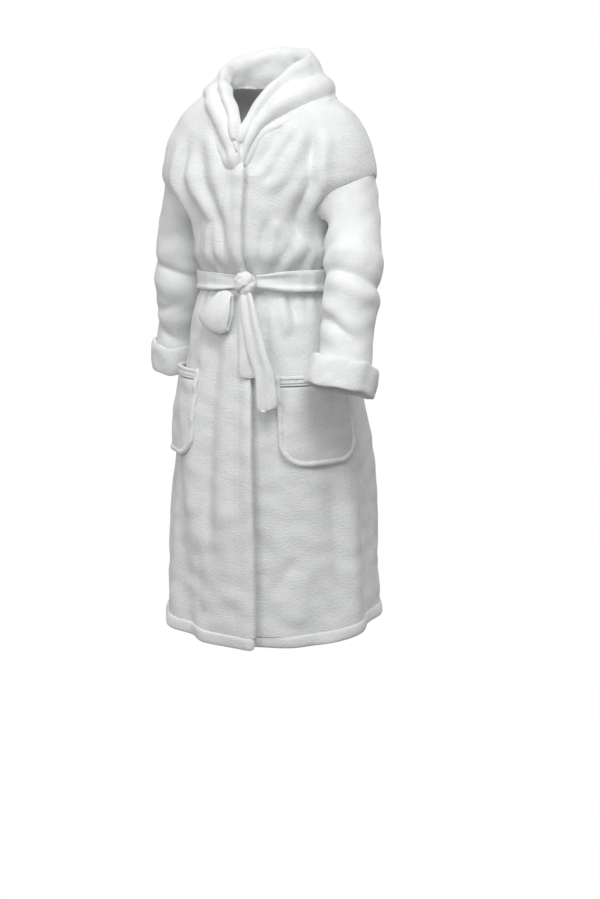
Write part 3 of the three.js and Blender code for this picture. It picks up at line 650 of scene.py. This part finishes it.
def makeCuff(name, side):
    # a doubled band round the sleeve's end: a tall rounded section carried round the wrist
    sign = 1 if side == "left" else -1
    _, along, wrist = armLine(side)
    turn = np.linspace(0, 2 * np.pi, 72, endpoint=False)[:, None]
    section = np.linspace(0, 2 * np.pi, 26, endpoint=False)[None, :]
    deep, tall = roundedBox(section, 0.62)
    deep, tall = deep * cuff["thickness"] / 2, tall * cuff["height"] / 2
    radius = sleeve["end"] + body["cloth"] + cuff["clearance"] + cuff["thickness"] / 2
    wave = 0.0022 * np.cos(2 * turn + 0.6) + 0.0012 * np.cos(5 * turn + 2.0)
    out = radius + deep + wave * (np.cos(section) > -0.3) + cuff["flare"] * tall / cuff["height"] * 2
    down = unit(along)
    front = unit(np.array([0.0, -1.0, 0.0]) + down * down[1])
    outward = np.cross(front, down)
    shape = sleeve[side]
    edge = tall + 0.0018 * np.cos(3 * turn + 1.0) + 0.0012 * np.cos(7 * turn)
    points = (wrist + outward * (out * shape["narrow"] * np.cos(turn))[..., None]
              + front * (out * shape["deep"] * np.sin(turn))[..., None] + down * (edge + 0 * turn)[..., None])
    points = points + 0.0008 * softNoise(points, 0.03, 21)[..., None] * unit(points - wrist)
    points[..., 0] *= sign
    piece = gridMesh(name, points, closeColumns=True, closeRows=True)
    piece.data.materials.append(softFleece)
    thicken(piece, 0)
    return piece, clothArea(np.concatenate([points, points[:1]]), True)


sleeveLeft, sleeveLeftArea = makeSleeve("sleeveLeft", "left")
sleeveRight, sleeveRightArea = makeSleeve("sleeveRight", "right")
cuffLeft, cuffLeftArea = makeCuff("cuffLeft", "left")
cuffRight, cuffRightArea = makeCuff("cuffRight", "right")
print("sleeves and cuffs", [round(v, 3) for v in (sleeveLeftArea, sleeveRightArea, cuffLeftArea, cuffRightArea)])

collar = {
    "end": 0.006,
    "neckAngle": 80.0,
    "rollHalf": 0.0100,
    "thickness": 0.0100,
    # from the V up the wearer's left edge, round the nape and down the right edge: place, the inside of the roll, and
    # the outer edge's angle and height on the body
    "stops": [
        (0.00, -0.002, -0.138, -0.150, 0.5, -0.164), (0.25, 0.001, -0.139, -0.098, 6.5, -0.120),
        (0.50, 0.009, -0.119, -0.052, 12, -0.088), (0.75, 0.034, -0.085, -0.002, 27, -0.067),
        (1.00, 0.055, -0.047, 0.026, 48, -0.042), (1.25, 0.068, 0.000, 0.048, 80, -0.026),
        (1.50, 0.057, 0.040, 0.062, 118, -0.022), (2.00, 0.000, 0.072, 0.075, 180, -0.036),
        (2.50, -0.066, 0.042, 0.059, 242, -0.022), (2.75, -0.078, 0.004, 0.042, 278, -0.020),
        (3.00, -0.069, -0.042, 0.020, 316, -0.030), (3.25, -0.039, -0.098, -0.010, 335, -0.068),
        (3.50, -0.012, -0.129, -0.050, 345, -0.106), (3.75, -0.003, -0.147, -0.092, 352, -0.142),
        (4.00, 0.003, -0.151, -0.140, 358, -0.168),
    ],
}


def makeCollar():
    # for each place along the collar a smooth line across it, from the seam over the roll to the outer edge
    at = np.linspace(0, 4, 190)
    table = np.array(collar["stops"])
    rollX, rollY, rollZ, edgeAngle, edgeZ = (monotone(table[:, 0], table[:, i])(at) for i in range(1, 6))
    rise = np.minimum(at, 4 - at)
    z = mix(wrap["vBottom"] + collar["end"], neckHeight, np.clip(rise, 0, 1))
    round_ = mix(collar["neckAngle"], 360 - collar["neckAngle"], (at - 1) / 2)
    angle = np.where(rise >= 1, round_, np.where(at < 1, leftEdge(z), 360 + rightEdge(z)))
    rightSide = lambda turn: np.where(turn > 180, rightLift(turn - 360), 0.0)
    # at its two lower ends the collar sinks into the front edges
    sink = 1 - smooth(rise, 0.0, 0.22)
    seamLine = onBody(z - 0.004, angle, 0.0022 - 0.004 * sink + rightSide(angle), 0.0)
    roll = np.stack([rollX, rollY, rollZ], -1)
    # in front the outer edge presses into the nap, so it shows as a crease
    edgeLift = body["cloth"] / 2 + mix(-0.0040, 0.0012, smooth(rise, 1.2, 1.6)) - 0.005 * sink + rightSide(edgeAngle)
    edge = onBody(edgeZ, edgeAngle, edgeLift, 0.5)
    chest = unit(onBody(edgeZ, edgeAngle, 0.02, 0.0) - onBody(edgeZ, edgeAngle, 0.0, 0.0))
    up = unit(mix(np.array([0.0, 0.0, 1.0]), chest, (1 - smooth(rise, 0.4, 1.2))[:, None]))
    out = edge - roll
    out = unit(out - up * (out * up).sum(-1, keepdims=True))
    r = (collar["rollHalf"] * mix(0.30, 1.0, smooth(rise, 0.0, 0.5)))[:, None]
    roll = roll - chest * (0.008 * (1 - smooth(rise, 0.0, 0.10)))[:, None]
    overFall = mix(1.0, 0.25, smooth(rise, 0.75, 1.15))[:, None]
    far = roll + out * r * 2 - up * r * 0.4
    stops = np.stack([
        seamLine, mix(seamLine, roll - up * r, 0.6), roll - up * r * 0.5, roll + out * r + up * r * 0.7, far,
        mix(far, edge, 0.42) + chest * 0.009 * overFall, mix(far, edge, 0.76) + chest * 0.0060, edge,
    ])
    across = np.linspace(0, 1, 44)
    points = spline(stops, across)
    v, p = across[:, None], at[None, :]
    lay = smooth(v, 0.50, 0.62) * smooth(1 - v, 0.0, 0.10)
    # the cloth falls in long soft folds that run with the roll
    drape = 0.0065 * lay * np.cos(2 * np.pi * (3.2 * v - 0.42 * p + 0.02)) * bump(p, 0.85, 0.75)
    drape = drape + 0.0050 * lay * np.cos(2 * np.pi * (2.7 * v + 0.55 * p + 0.30)) * bump(p, 3.35, 0.50)
    drape = drape + 0.0035 * lay * np.cos(2 * np.pi * (1.6 * v + 0.16 * np.sin(2.2 * p))) * bump(p, 2.0, 0.7)
    drape = drape - 0.0075 * bump(v, 0.66 + 0.10 * (p - 1.15), 0.030) * bump(p, 1.15, 0.16)
    # one deep pleat across the right lapel, where the wrap pulls it
    drape = (drape - 0.0090 * bump(v, 0.84 - 0.26 * (p - 3.55), 0.050) * bump(p, 3.55, 0.17)
             + 0.0050 * bump(v, 0.66, 0.09) * bump(p, 3.5, 0.2))
    normal = normalsOf(points)
    row, nape = 30, 95  # a point on the outside of the fall, at the nape, tells which way the normals point
    side = np.sign((normal[row, nape] * (points[row, nape] - points[:, nape].mean(0))).sum())
    points = points + side * normal * (drape + 0.0010 * softNoise(points, 0.04, 33))[..., None]
    piece = gridMesh("shawlCollar", points)
    piece.data.materials.append(softFleece)
    thicken(piece, collar["thickness"])
    return piece, clothArea(points)


shawlCollar, collarArea = makeCollar()
print("collar", round(collarArea, 3))

pocket = {
    "left": (27.0, 78.0, -0.546), "right": (33.0, 83.0, -0.541),  # its front and back, as angles, and its top
    "depth": 0.168, "corner": 0.038,
    "band": 0.020, "gape": 0.0075, "cloth": 0.0048, "under": 0.0045, "roll": 0.0060,
}


def pocketLift(side, angle):
    # the pocket's height over the body: over the panel, and over the right front's overlap on that side
    return body["cloth"] + pocket["under"] + (rightLift(-angle) if side < 0 else 0.0)


def pocketSpot(side):
    # its front and back angles, its top, and the body's radius there
    start, end, top = pocket["left"] if side > 0 else pocket["right"]
    return start, end, top, (float(sideAt(top)) + float(frontAt(top))) * 0.5


def pocketPlace(side, across, down):
    # 0 to 1 across and down to angle and height, with the two lower corners rounded
    start, end, top, radius = pocketSpot(side)
    width = math.radians(end - start) * radius
    depth = down * pocket["depth"]
    into = np.clip(depth - (pocket["depth"] - pocket["corner"]), 0, pocket["corner"])
    inset = pocket["corner"] - np.sqrt(pocket["corner"] ** 2 - into ** 2)
    share = (inset + across * (width - 2 * inset)) / width
    return mix(start, end, share), top - depth


def mouthBelly(across):
    # how far the mouth stands off, most in its middle
    return pocket["gape"] * np.sqrt(np.clip(np.sin(np.pi * across), 0, 1))


def makePocket(name, side):
    # the patch below its band, which stands off the robe less and less towards its bottom
    start = pocket["band"] / pocket["depth"]
    across = np.linspace(0, 1, 30)[None, :]
    down = (start + (0.997 - start) * np.sin(np.linspace(0, np.pi / 2, 26)))[:, None]
    angle, z = pocketPlace(side, across, down)
    belly = mouthBelly(across) * np.sqrt(np.clip(np.cos(np.pi / 2 * (down - start) / (1 - start)), 0, 1))
    points = onBody(z, angle * side, pocketLift(side, angle) + belly, 0.6)
    piece = gridMesh(name, points)
    if side < 0:
        piece.data.flip_normals()
    piece.data.materials.append(bodyFleece)
    thicken(piece, pocket["cloth"])
    return piece, clothArea(points)


def makePocketBand(name, side):
    # the pocket's mouth, turned over and stitched twice
    across = np.linspace(0, 1, 30)[None, :]
    down = np.linspace(0, pocket["band"] / pocket["depth"], 8)[:, None]
    angle, z = pocketPlace(side, across, down)
    points = onBody(z + 0.0006, angle * side, pocketLift(side, angle) + mouthBelly(across) + 0.0006, 0.6)
    uv = np.stack(np.broadcast_arrays(across * 0.16, down * pocket["depth"]), -1)
    piece = gridMesh(name, points, uv=uv)
    if side < 0:
        piece.data.flip_normals()
    piece.data.materials.append(bandFleece)
    thicken(piece, pocket["cloth"] * 1.5)
    return piece, clothArea(points)


def tube(name, line, across, normal, radiusAcross, radiusOut, sides=14):
    # an oval section carried along a line; across and normal are its two directions at each stop
    turn = np.linspace(0, 2 * np.pi, sides, endpoint=False)[None, :]
    shrink = endShrink(len(line), 2.0, 0.05)
    points = (line[:, None, :] + across[:, None, :] * (radiusAcross * shrink * np.cos(turn))[..., None]
              + normal[:, None, :] * (radiusOut * shrink * np.sin(turn))[..., None])
    piece = gridMesh(name, points, closeColumns=True, capRows=True)
    thicken(piece, 0)
    return piece, clothArea(points, True)


def makePocketRoll(name, side):
    # the pocket's edge, rolled to the outside round its sides and bottom
    front, back, mouth, radius = pocketSpot(side)
    corner = pocket["corner"] / radius
    out = math.degrees(pocket["roll"] * 0.4 / radius)
    t = np.linspace(0, np.pi / 2, 12)
    top, bottom = mouth + 0.004, mouth - pocket["depth"] + pocket["corner"]
    straight = np.linspace(0, 1, 26)[:-1]
    cornerAngle = math.degrees(corner)
    angle = np.concatenate([0 * straight + front - out, front - out + cornerAngle * (1 - np.cos(t))])
    z = np.concatenate([mix(top, bottom, straight), bottom - (pocket["corner"] + 0.003) * np.sin(t)])
    bottomRun = np.linspace(0, 1, 16)[1:-1]
    angle = np.concatenate([angle, mix(angle[-1], back + out - cornerAngle, bottomRun)])
    z = np.concatenate([z, 0 * bottomRun + z[-1]])
    angle = np.concatenate([angle, back + out - cornerAngle * (1 - np.cos(t[::-1])), 0 * straight + back + out])
    rise = mix(bottom, top, np.linspace(0, 1, 26)[1:])
    z = np.concatenate([z, bottom - (pocket["corner"] + 0.003) * np.sin(t[::-1]), rise])
    lift = pocketLift(side, angle) + 0.0015
    line = onBody(z, angle * side, lift, 0.6)
    normal = unit(onBody(z, angle * side, lift + 0.01, 0.0) - onBody(z, angle * side, lift, 0.0))
    across = unit(np.cross(normal, np.gradient(line, axis=0)))
    line = line + normal * (0.0006 * softNoise(line, 0.02, 5))[:, None]
    piece, area = tube(name, line, across, normal, pocket["roll"], pocket["roll"] * 0.82)
    piece.data.materials.append(softFleece)
    return piece, area


pockets = {}
for word, side in (("Left", 1), ("Right", -1)):
    pockets[word] = [makePocket("pocket" + word, side), makePocketBand("pocketBand" + word, side),
                     makePocketRoll("pocketRoll" + word, side)]
print("pockets", [round(piece[1], 3) for piece in pockets["Left"]])

belt = {
    "width": 0.043, "cloth": 0.0065, "under": 0.0040,
    "knot": (0.009, 0.044, 0.032, 0.044),  # its place to the wearer's left, width, depth and height
    "shortTail": {"angles": [4.5, 7.4, 9.2, 10.4], "z": [-0.390, -0.439, -0.495, -0.548],
                  "width": [0.024, 0.031, 0.034, 0.036], "lift": 0.0},
    "longTail": {"angles": [5.0, 9.6, 13.9, 19.0, 19.6], "z": [-0.389, -0.441, -0.495, -0.553, -0.611],
                 "width": [0.020, 0.027, 0.028, 0.027, 0.028], "lift": 0.0075},
    "loop": {"top": -0.387, "angles": (-9.5, -16.5), "width": (0.026, 0.055), "length": 0.078, "depth": 0.023,
             "bodyRadius": 0.132},
    "skirtRadius": 0.135,  # the body's radius under the tails, which turns their width into an angle
}


def beltLift(angle):
    # how far under the belt's inner side the body's surface lies: more in front, where the robe overlaps
    away = np.abs((angle + 180) % 360 - 180)
    return body["cloth"] + belt["under"] + wrap["lift"] * (1 - smooth(away, 55, 90))


def makeBeltBand():
    # a flat strip carried round the waist from one side of the knot to the other, gathered towards it and creased
    middle = math.degrees(math.asin(belt["knot"][0] / float(sideAt(waistHeight))))
    end = 8.0
    angle = np.linspace(middle + end, middle + 360 - end, 300)[:, None]
    section = np.linspace(0, 2 * np.pi, 30, endpoint=False)[None, :]
    tall, deep = roundedBox(section, 0.55)
    fromKnot = np.minimum(angle - middle, middle + 360 - angle)
    gather = mix(0.74, 1.0, smooth(fromKnot, 6, 34))
    onLeft = smooth(angle, 14, 40) * (1 - smooth(angle, 84, 110))
    low = tall < 0
    height = tall * belt["width"] / 2 * gather - 0.006 * onLeft * low * np.abs(tall)
    crease = (-0.0030 * bump(tall, -0.42, 0.16) * (0.35 + 0.65 * onLeft)
              + 0.0012 * np.cos(5 * tall + 0.09 * angle) * smooth(60 - fromKnot, 0, 40))
    crease = crease + 0.0016 * bump(tall, -0.75, 0.2) - 0.0022 * bump(tall, 0.38, 0.15) * bump(angle, 35, 30)
    lift = beltLift(angle) + belt["cloth"] / 2 + deep * belt["cloth"] / 2 + crease * (deep > 0.3)
    droop = 0.0020 * np.sin(np.radians(2 * angle + 30)) + 0.0022 * onLeft
    points = onBody(waistHeight + height + droop, angle + 0 * height, lift, 0.35)
    piece = gridMesh("beltBand", points, closeColumns=True, capRows=True)
    piece.data.materials.append(softFleece)
    thicken(piece, 0)
    return piece, clothArea(points, True)


def makeKnot():
    # a soft lump with a slanting wrap over it: an egg whose surface swells and sinks
    x, width, depth, height = belt["knot"]
    middle = math.degrees(math.asin(x / float(sideAt(waistHeight))))
    centre = onBody(waistHeight - 0.002, middle, float(beltLift(np.array(0.0))) + depth * 0.40, 0.0)
    theta = np.linspace(0.02, np.pi - 0.02, 48)[:, None]
    phi = np.linspace(0, 2 * np.pi, 64, endpoint=False)[None, :]
    power = 0.86
    ring = np.sin(theta) ** power
    x0, y0, z0 = ring * np.cos(phi), ring * np.sin(phi), np.cos(theta) + 0 * phi
    slant = 0.80 * z0 - 0.60 * x0
    # a broad wrap in the middle, and a groove on each side of it
    fat = 1.0 + 0.07 * bump(slant, 0.05, 0.30) - 0.13 * bump(slant, -0.42, 0.11) - 0.11 * bump(slant, 0.50, 0.10)
    fat = fat + 0.05 * bump(slant, -0.75, 0.2) - 0.05 * bump(0.6 * z0 + 0.8 * x0, 0.25, 0.10) * bump(slant, 0.05, 0.25)
    fat = mix(1.0, fat, smooth(-y0, -0.3, 0.4))
    points = centre + np.stack([x0 * fat * width / 2, y0 * fat * depth / 2, z0 * fat * height / 2], -1)
    points = points + 0.0008 * softNoise(points, 0.014, 12)[..., None] * unit(points - centre)
    piece = gridMesh("beltKnot", points, closeColumns=True, capRows=True)
    piece.data.materials.append(softFleece)
    thicken(piece, 0)
    return piece, clothArea(points, True)


def makeTail(name, shape):
    # a folded strip that hangs from the knot and lies on the skirt
    count = 46
    steps = np.linspace(0, 1, count)
    stops = np.linspace(0, 1, len(shape["z"]))
    z = monotone(stops, shape["z"])(steps)
    angle = monotone(stops, shape["angles"])(steps)
    width = monotone(stops, shape["width"])(steps)[:, None]
    section = np.linspace(0, 2 * np.pi, 24, endpoint=False)[None, :]
    shrink = endShrink(count, 3.0, 0.06)
    across, deep = roundedBox(section, 0.7)
    across, deep = across * (0.55 + 0.45 * shrink), deep * shrink
    spread = np.degrees(across * width / 2 / belt["skirtRadius"])
    # one soft ridge and one valley run down it
    valley = -0.20 + 0.25 * np.sin(2.4 * steps[:, None] + shape["lift"] * 200)
    fold = (0.0030 * bump(across, valley + 0.55, 0.26) - 0.0042 * bump(across, valley, 0.20)
            + 0.0008 * np.cos(9 * steps[:, None] * 2 + 3 * across))
    base = float(beltLift(np.array(0.0))) + 0.0042 + shape["lift"]
    hang = 0.010 * np.sin(np.pi * steps)[:, None] * 0.3
    lift = base + belt["cloth"] / 2 + deep * belt["cloth"] / 2 + fold * (deep > 0.2) + hang
    tilt = 0.0035 * across * np.sin(3.0 * steps[:, None] + 0.5)
    slant = 0.003 * across * smooth(steps[:, None], 0.8, 1.0)
    points = onBody(z[:, None] + slant, angle[:, None] + spread, lift + tilt, 0.0)
    piece = gridMesh(name, points, closeColumns=True, capRows=True)
    piece.data.materials.append(softFleece)
    thicken(piece, 0)
    return piece, clothArea(points, True)


def makeBowLoop():
    # the belt doubled into one drooping loop: it leaves the knot narrow, widens, and folds back at its lowest part
    shape = belt["loop"]
    count = 80
    turn = np.linspace(0.05, 0.95, count)[:, None] * 2 * np.pi
    section = np.linspace(0, 2 * np.pi, 28, endpoint=False)[None, :]
    across, deep = roundedBox(section, 0.6)
    shrink = endShrink(count, 2.0, 0.12)
    length, depth = shape["length"] / 2, shape["depth"] / 2
    low = (1 - np.cos(turn)) / 2
    thick = belt["cloth"] / 2 * shrink
    # the fold is deepest in its middle, so both corners of its lower edge are rounded upwards
    reach = length - belt["cloth"] / 2 - 0.009 * np.abs(across) ** 2.5
    zLine = shape["top"] - length + reach * np.cos(turn)
    liftLine = depth + (depth - belt["cloth"] / 2) * np.sin(turn)
    z = zLine + deep * thick * np.cos(turn)
    lift = liftLine + deep * thick * np.sin(turn)
    outer = smooth(np.sin(turn), 0.0, 0.4) * smooth(deep, 0.0, 0.6)
    crease = outer * (0.0030 * np.cos(5.0 * across - 1.0 + 1.5 * low)
                      - 0.0045 * bump(across, 0.15, 0.16) * (1 - smooth(low, 0.35, 0.8)))
    halfWidth = mix(shape["width"][0], shape["width"][1], smooth(low, 0.0, 0.72)) / 2 * (0.9 + 0.1 * shrink)
    angle = mix(*shape["angles"], smooth(low, -0.1, 0.95)) + np.degrees(across * halfWidth / shape["bodyRadius"])
    z = z - 0.007 * across * smooth(low, 0.35, 1.0)
    base = float(beltLift(np.array(0.0))) + 0.004
    points = onBody(z, angle, base + lift + crease, 0.0)
    piece = gridMesh("bowLoop", points, closeColumns=True, capRows=True)
    piece.data.materials.append(softFleece)
    thicken(piece, 0)
    return piece, clothArea(points, True)


beltBand, beltBandArea = makeBeltBand()
knotPiece, knotArea = makeKnot()
shortTail, shortTailArea = makeTail("beltTailShort", belt["shortTail"])
longTail, longTailArea = makeTail("beltTailLong", belt["longTail"])
bowLoop, bowLoopArea = makeBowLoop()
print("belt", [round(v, 4) for v in (beltBandArea, knotArea, shortTailArea, longTailArea, bowLoopArea)])

for node, material in (("belt_loop_left", loopTape), ("belt_loop_right", loopTape), ("hanging_loop", loopTape),
                       ("blank_label", labelSatin)):
    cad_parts[node].data.materials.clear()
    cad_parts[node].data.materials.append(material)


def place(piece, bodyName, node, slotName, flat, held, restsOn, share=None):
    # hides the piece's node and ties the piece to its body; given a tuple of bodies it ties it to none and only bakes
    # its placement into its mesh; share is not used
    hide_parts(node)
    if isinstance(bodyName, tuple):
        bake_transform(piece)
    else:
        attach(piece, bodyName)


place(backPanel, "robe", "back_panel", "body_fleece", (0.74, 1.06), "hung", ["shawlCollar"], 0.8)
place(leftFront, "robe", "front_panel_left", "body_fleece", (0.36, 1.08), "hung", ["shawlCollar"], 0.8)
place(rightFront, "robe", "front_panel_right", "body_fleece", (0.34, 1.08), "hung", ["shawlCollar"], 0.8)
place(facingLeft, "robe", "front_facing_left", "facing_cloth", (0.038, 0.92), "hung", ["frontPanelLeft"])
place(facingRight, "robe", "front_facing_right", "facing_cloth", (0.038, 0.92), "hung", ["frontPanelRight"])
place(hemBack, "robe", "hem_band_back", "trim_fleece", (0.76, 0.034), "folded", ["backPanel"])
place(hemLeft, "robe", "hem_band_left", "trim_fleece", (0.36, 0.034), "folded", ["frontPanelLeft"])
place(hemRight, "robe", "hem_band_right", "trim_fleece", (0.33, 0.034), "folded", ["frontPanelRight"])
place(shawlCollar, "robe", "shawl_collar", "collar_fleece", (0.78, 0.17), "draped",
      ["backPanel", "frontPanelLeft", "frontPanelRight"])
for word, lower in (("Left", "left"), ("Right", "right")):
    sign = 1 if word == "Left" else -1
    sleevePiece, cuffPiece = (sleeveLeft, cuffLeft) if sign > 0 else (sleeveRight, cuffRight)
    # points at the seam and below the armpit, passed with the sleeve's two bodies; the cloth is not blended between
    # them
    blendStart, blendEnd = (sign * 0.165, 0.0, -0.195), (sign * 0.215, 0.0, -0.300)
    place(sleevePiece, ("robe", lower + "_sleeve", blendStart, blendEnd), "sleeve_" + lower, "body_fleece",
          (0.34, 0.42), "hung", ["backPanel"], 0.95)
    place(cuffPiece, lower + "_cuff", "cuff_" + lower, "cuff_fleece", (0.40, 0.070), "folded", [sleevePiece.name])
    (pocketPiece, _), (bandPiece, _), (rollPiece, _) = pockets[word]
    place(pocketPiece, "robe", "pocket_" + lower, "body_fleece", (0.16, 0.150), "hung", ["frontPanel" + word])
    place(bandPiece, "robe", "pocket_band_" + lower, "body_fleece", (0.15, 0.022), "folded", ["frontPanel" + word])
    place(rollPiece, "robe", "pocket_trim_" + lower, "trim_fleece", (0.50, 0.018), "folded", ["frontPanel" + word])
place(beltBand, "robe", "belt_band", "belt_fleece", (0.80, 0.052), "stretched", ["backPanel"])
place(knotPiece, "robe", "belt_knot", "belt_fleece", (0.060, 0.046), "folded", ["beltBand"])
place(shortTail, "short_tail", "belt_tail_short", "belt_fleece", (0.040, 0.165), "hung", ["beltKnot"])
place(longTail, "long_tail", "belt_tail_long", "belt_fleece", (0.034, 0.230), "hung", ["beltKnot"])
place(bowLoop, "bow", "bow_loop", "belt_fleece", (0.066, 0.200), "folded", ["beltKnot"])

studio = {
    "backdrop": 1.0,  # how bright the empty background looks
    "fill": (0.10, 0.56),  # how much light it gives from straight below and from straight above
    # each soft lamp's place, size and power: one high in front, a little to the viewer's right, and a weaker one lower
    "lamps": {"keySoftbox": ((1.1, -1.8, 2.0), 1.4, 50), "frontSoftbox": ((-0.6, -2.6, 0.6), 1.2, 18)},
    "camera": {"distance": 3.476, "height": -0.155, "azimuth": 23.9, "pitch": 9.08, "pan": 0.983, "lens": 70.0},
}
bpy.context.scene.view_settings.view_transform = "Standard"

world = bpy.data.worlds.new("studioLight")
bpy.context.scene.world = world
world.use_nodes = True
sky = world.node_tree
# the empty background is seen brighter than the light that it gives, as over a white sweep with its own lamps, and
# more of that light comes from above than from below
ray = addNode(sky, "ShaderNodeLightPath")
direction = addNode(sky, "ShaderNodeTexCoord")
axes = addNode(sky, "ShaderNodeSeparateXYZ", {0: direction.outputs["Generated"]})
below, above = studio["fill"]
dome = addNode(sky, "ShaderNodeMapRange", {0: axes.outputs[2]}, inputs={1: -1.0, 2: 1.0, 3: below, 4: above})
level = addNode(sky, "ShaderNodeMapRange", {0: ray.outputs["Is Camera Ray"], 3: dome.outputs[0]},
                inputs={4: studio["backdrop"]})
sky.links.new(level.outputs[0], sky.nodes["Background"].inputs["Strength"])
sky.nodes["Background"].inputs["Color"].default_value = (1.0, 1.0, 1.0, 1.0)

for name, (at, size, power) in studio["lamps"].items():
    lampData = bpy.data.lights.new(name, "AREA")
    lampData.size, lampData.energy = size, power
    lamp = bpy.data.objects.new(name, lampData)
    bpy.context.scene.collection.objects.link(lamp)
    lamp.location = at
    lamp.rotation_euler = (Vector((0, 0, -0.45)) - lamp.location).to_track_quat("-Z", "Y").to_euler()

view = studio["camera"]
azimuth, pitch, pan = (math.radians(view[key]) for key in ("azimuth", "pitch", "pan"))
heading = azimuth - pan
ahead = Vector((-math.sin(heading) * math.cos(pitch), math.cos(heading) * math.cos(pitch), -math.sin(pitch)))
cameraData = bpy.data.cameras.new("camera")
cameraData.lens = view["lens"]
cameraData.sensor_width = 36
camera = bpy.data.objects.new("camera", cameraData)
bpy.context.scene.collection.objects.link(camera)
camera.location = (view["distance"] * math.sin(azimuth), -view["distance"] * math.cos(azimuth), view["height"])
camera.rotation_euler = ahead.to_track_quat("-Z", "Y").to_euler()
bpy.context.scene.camera = camera
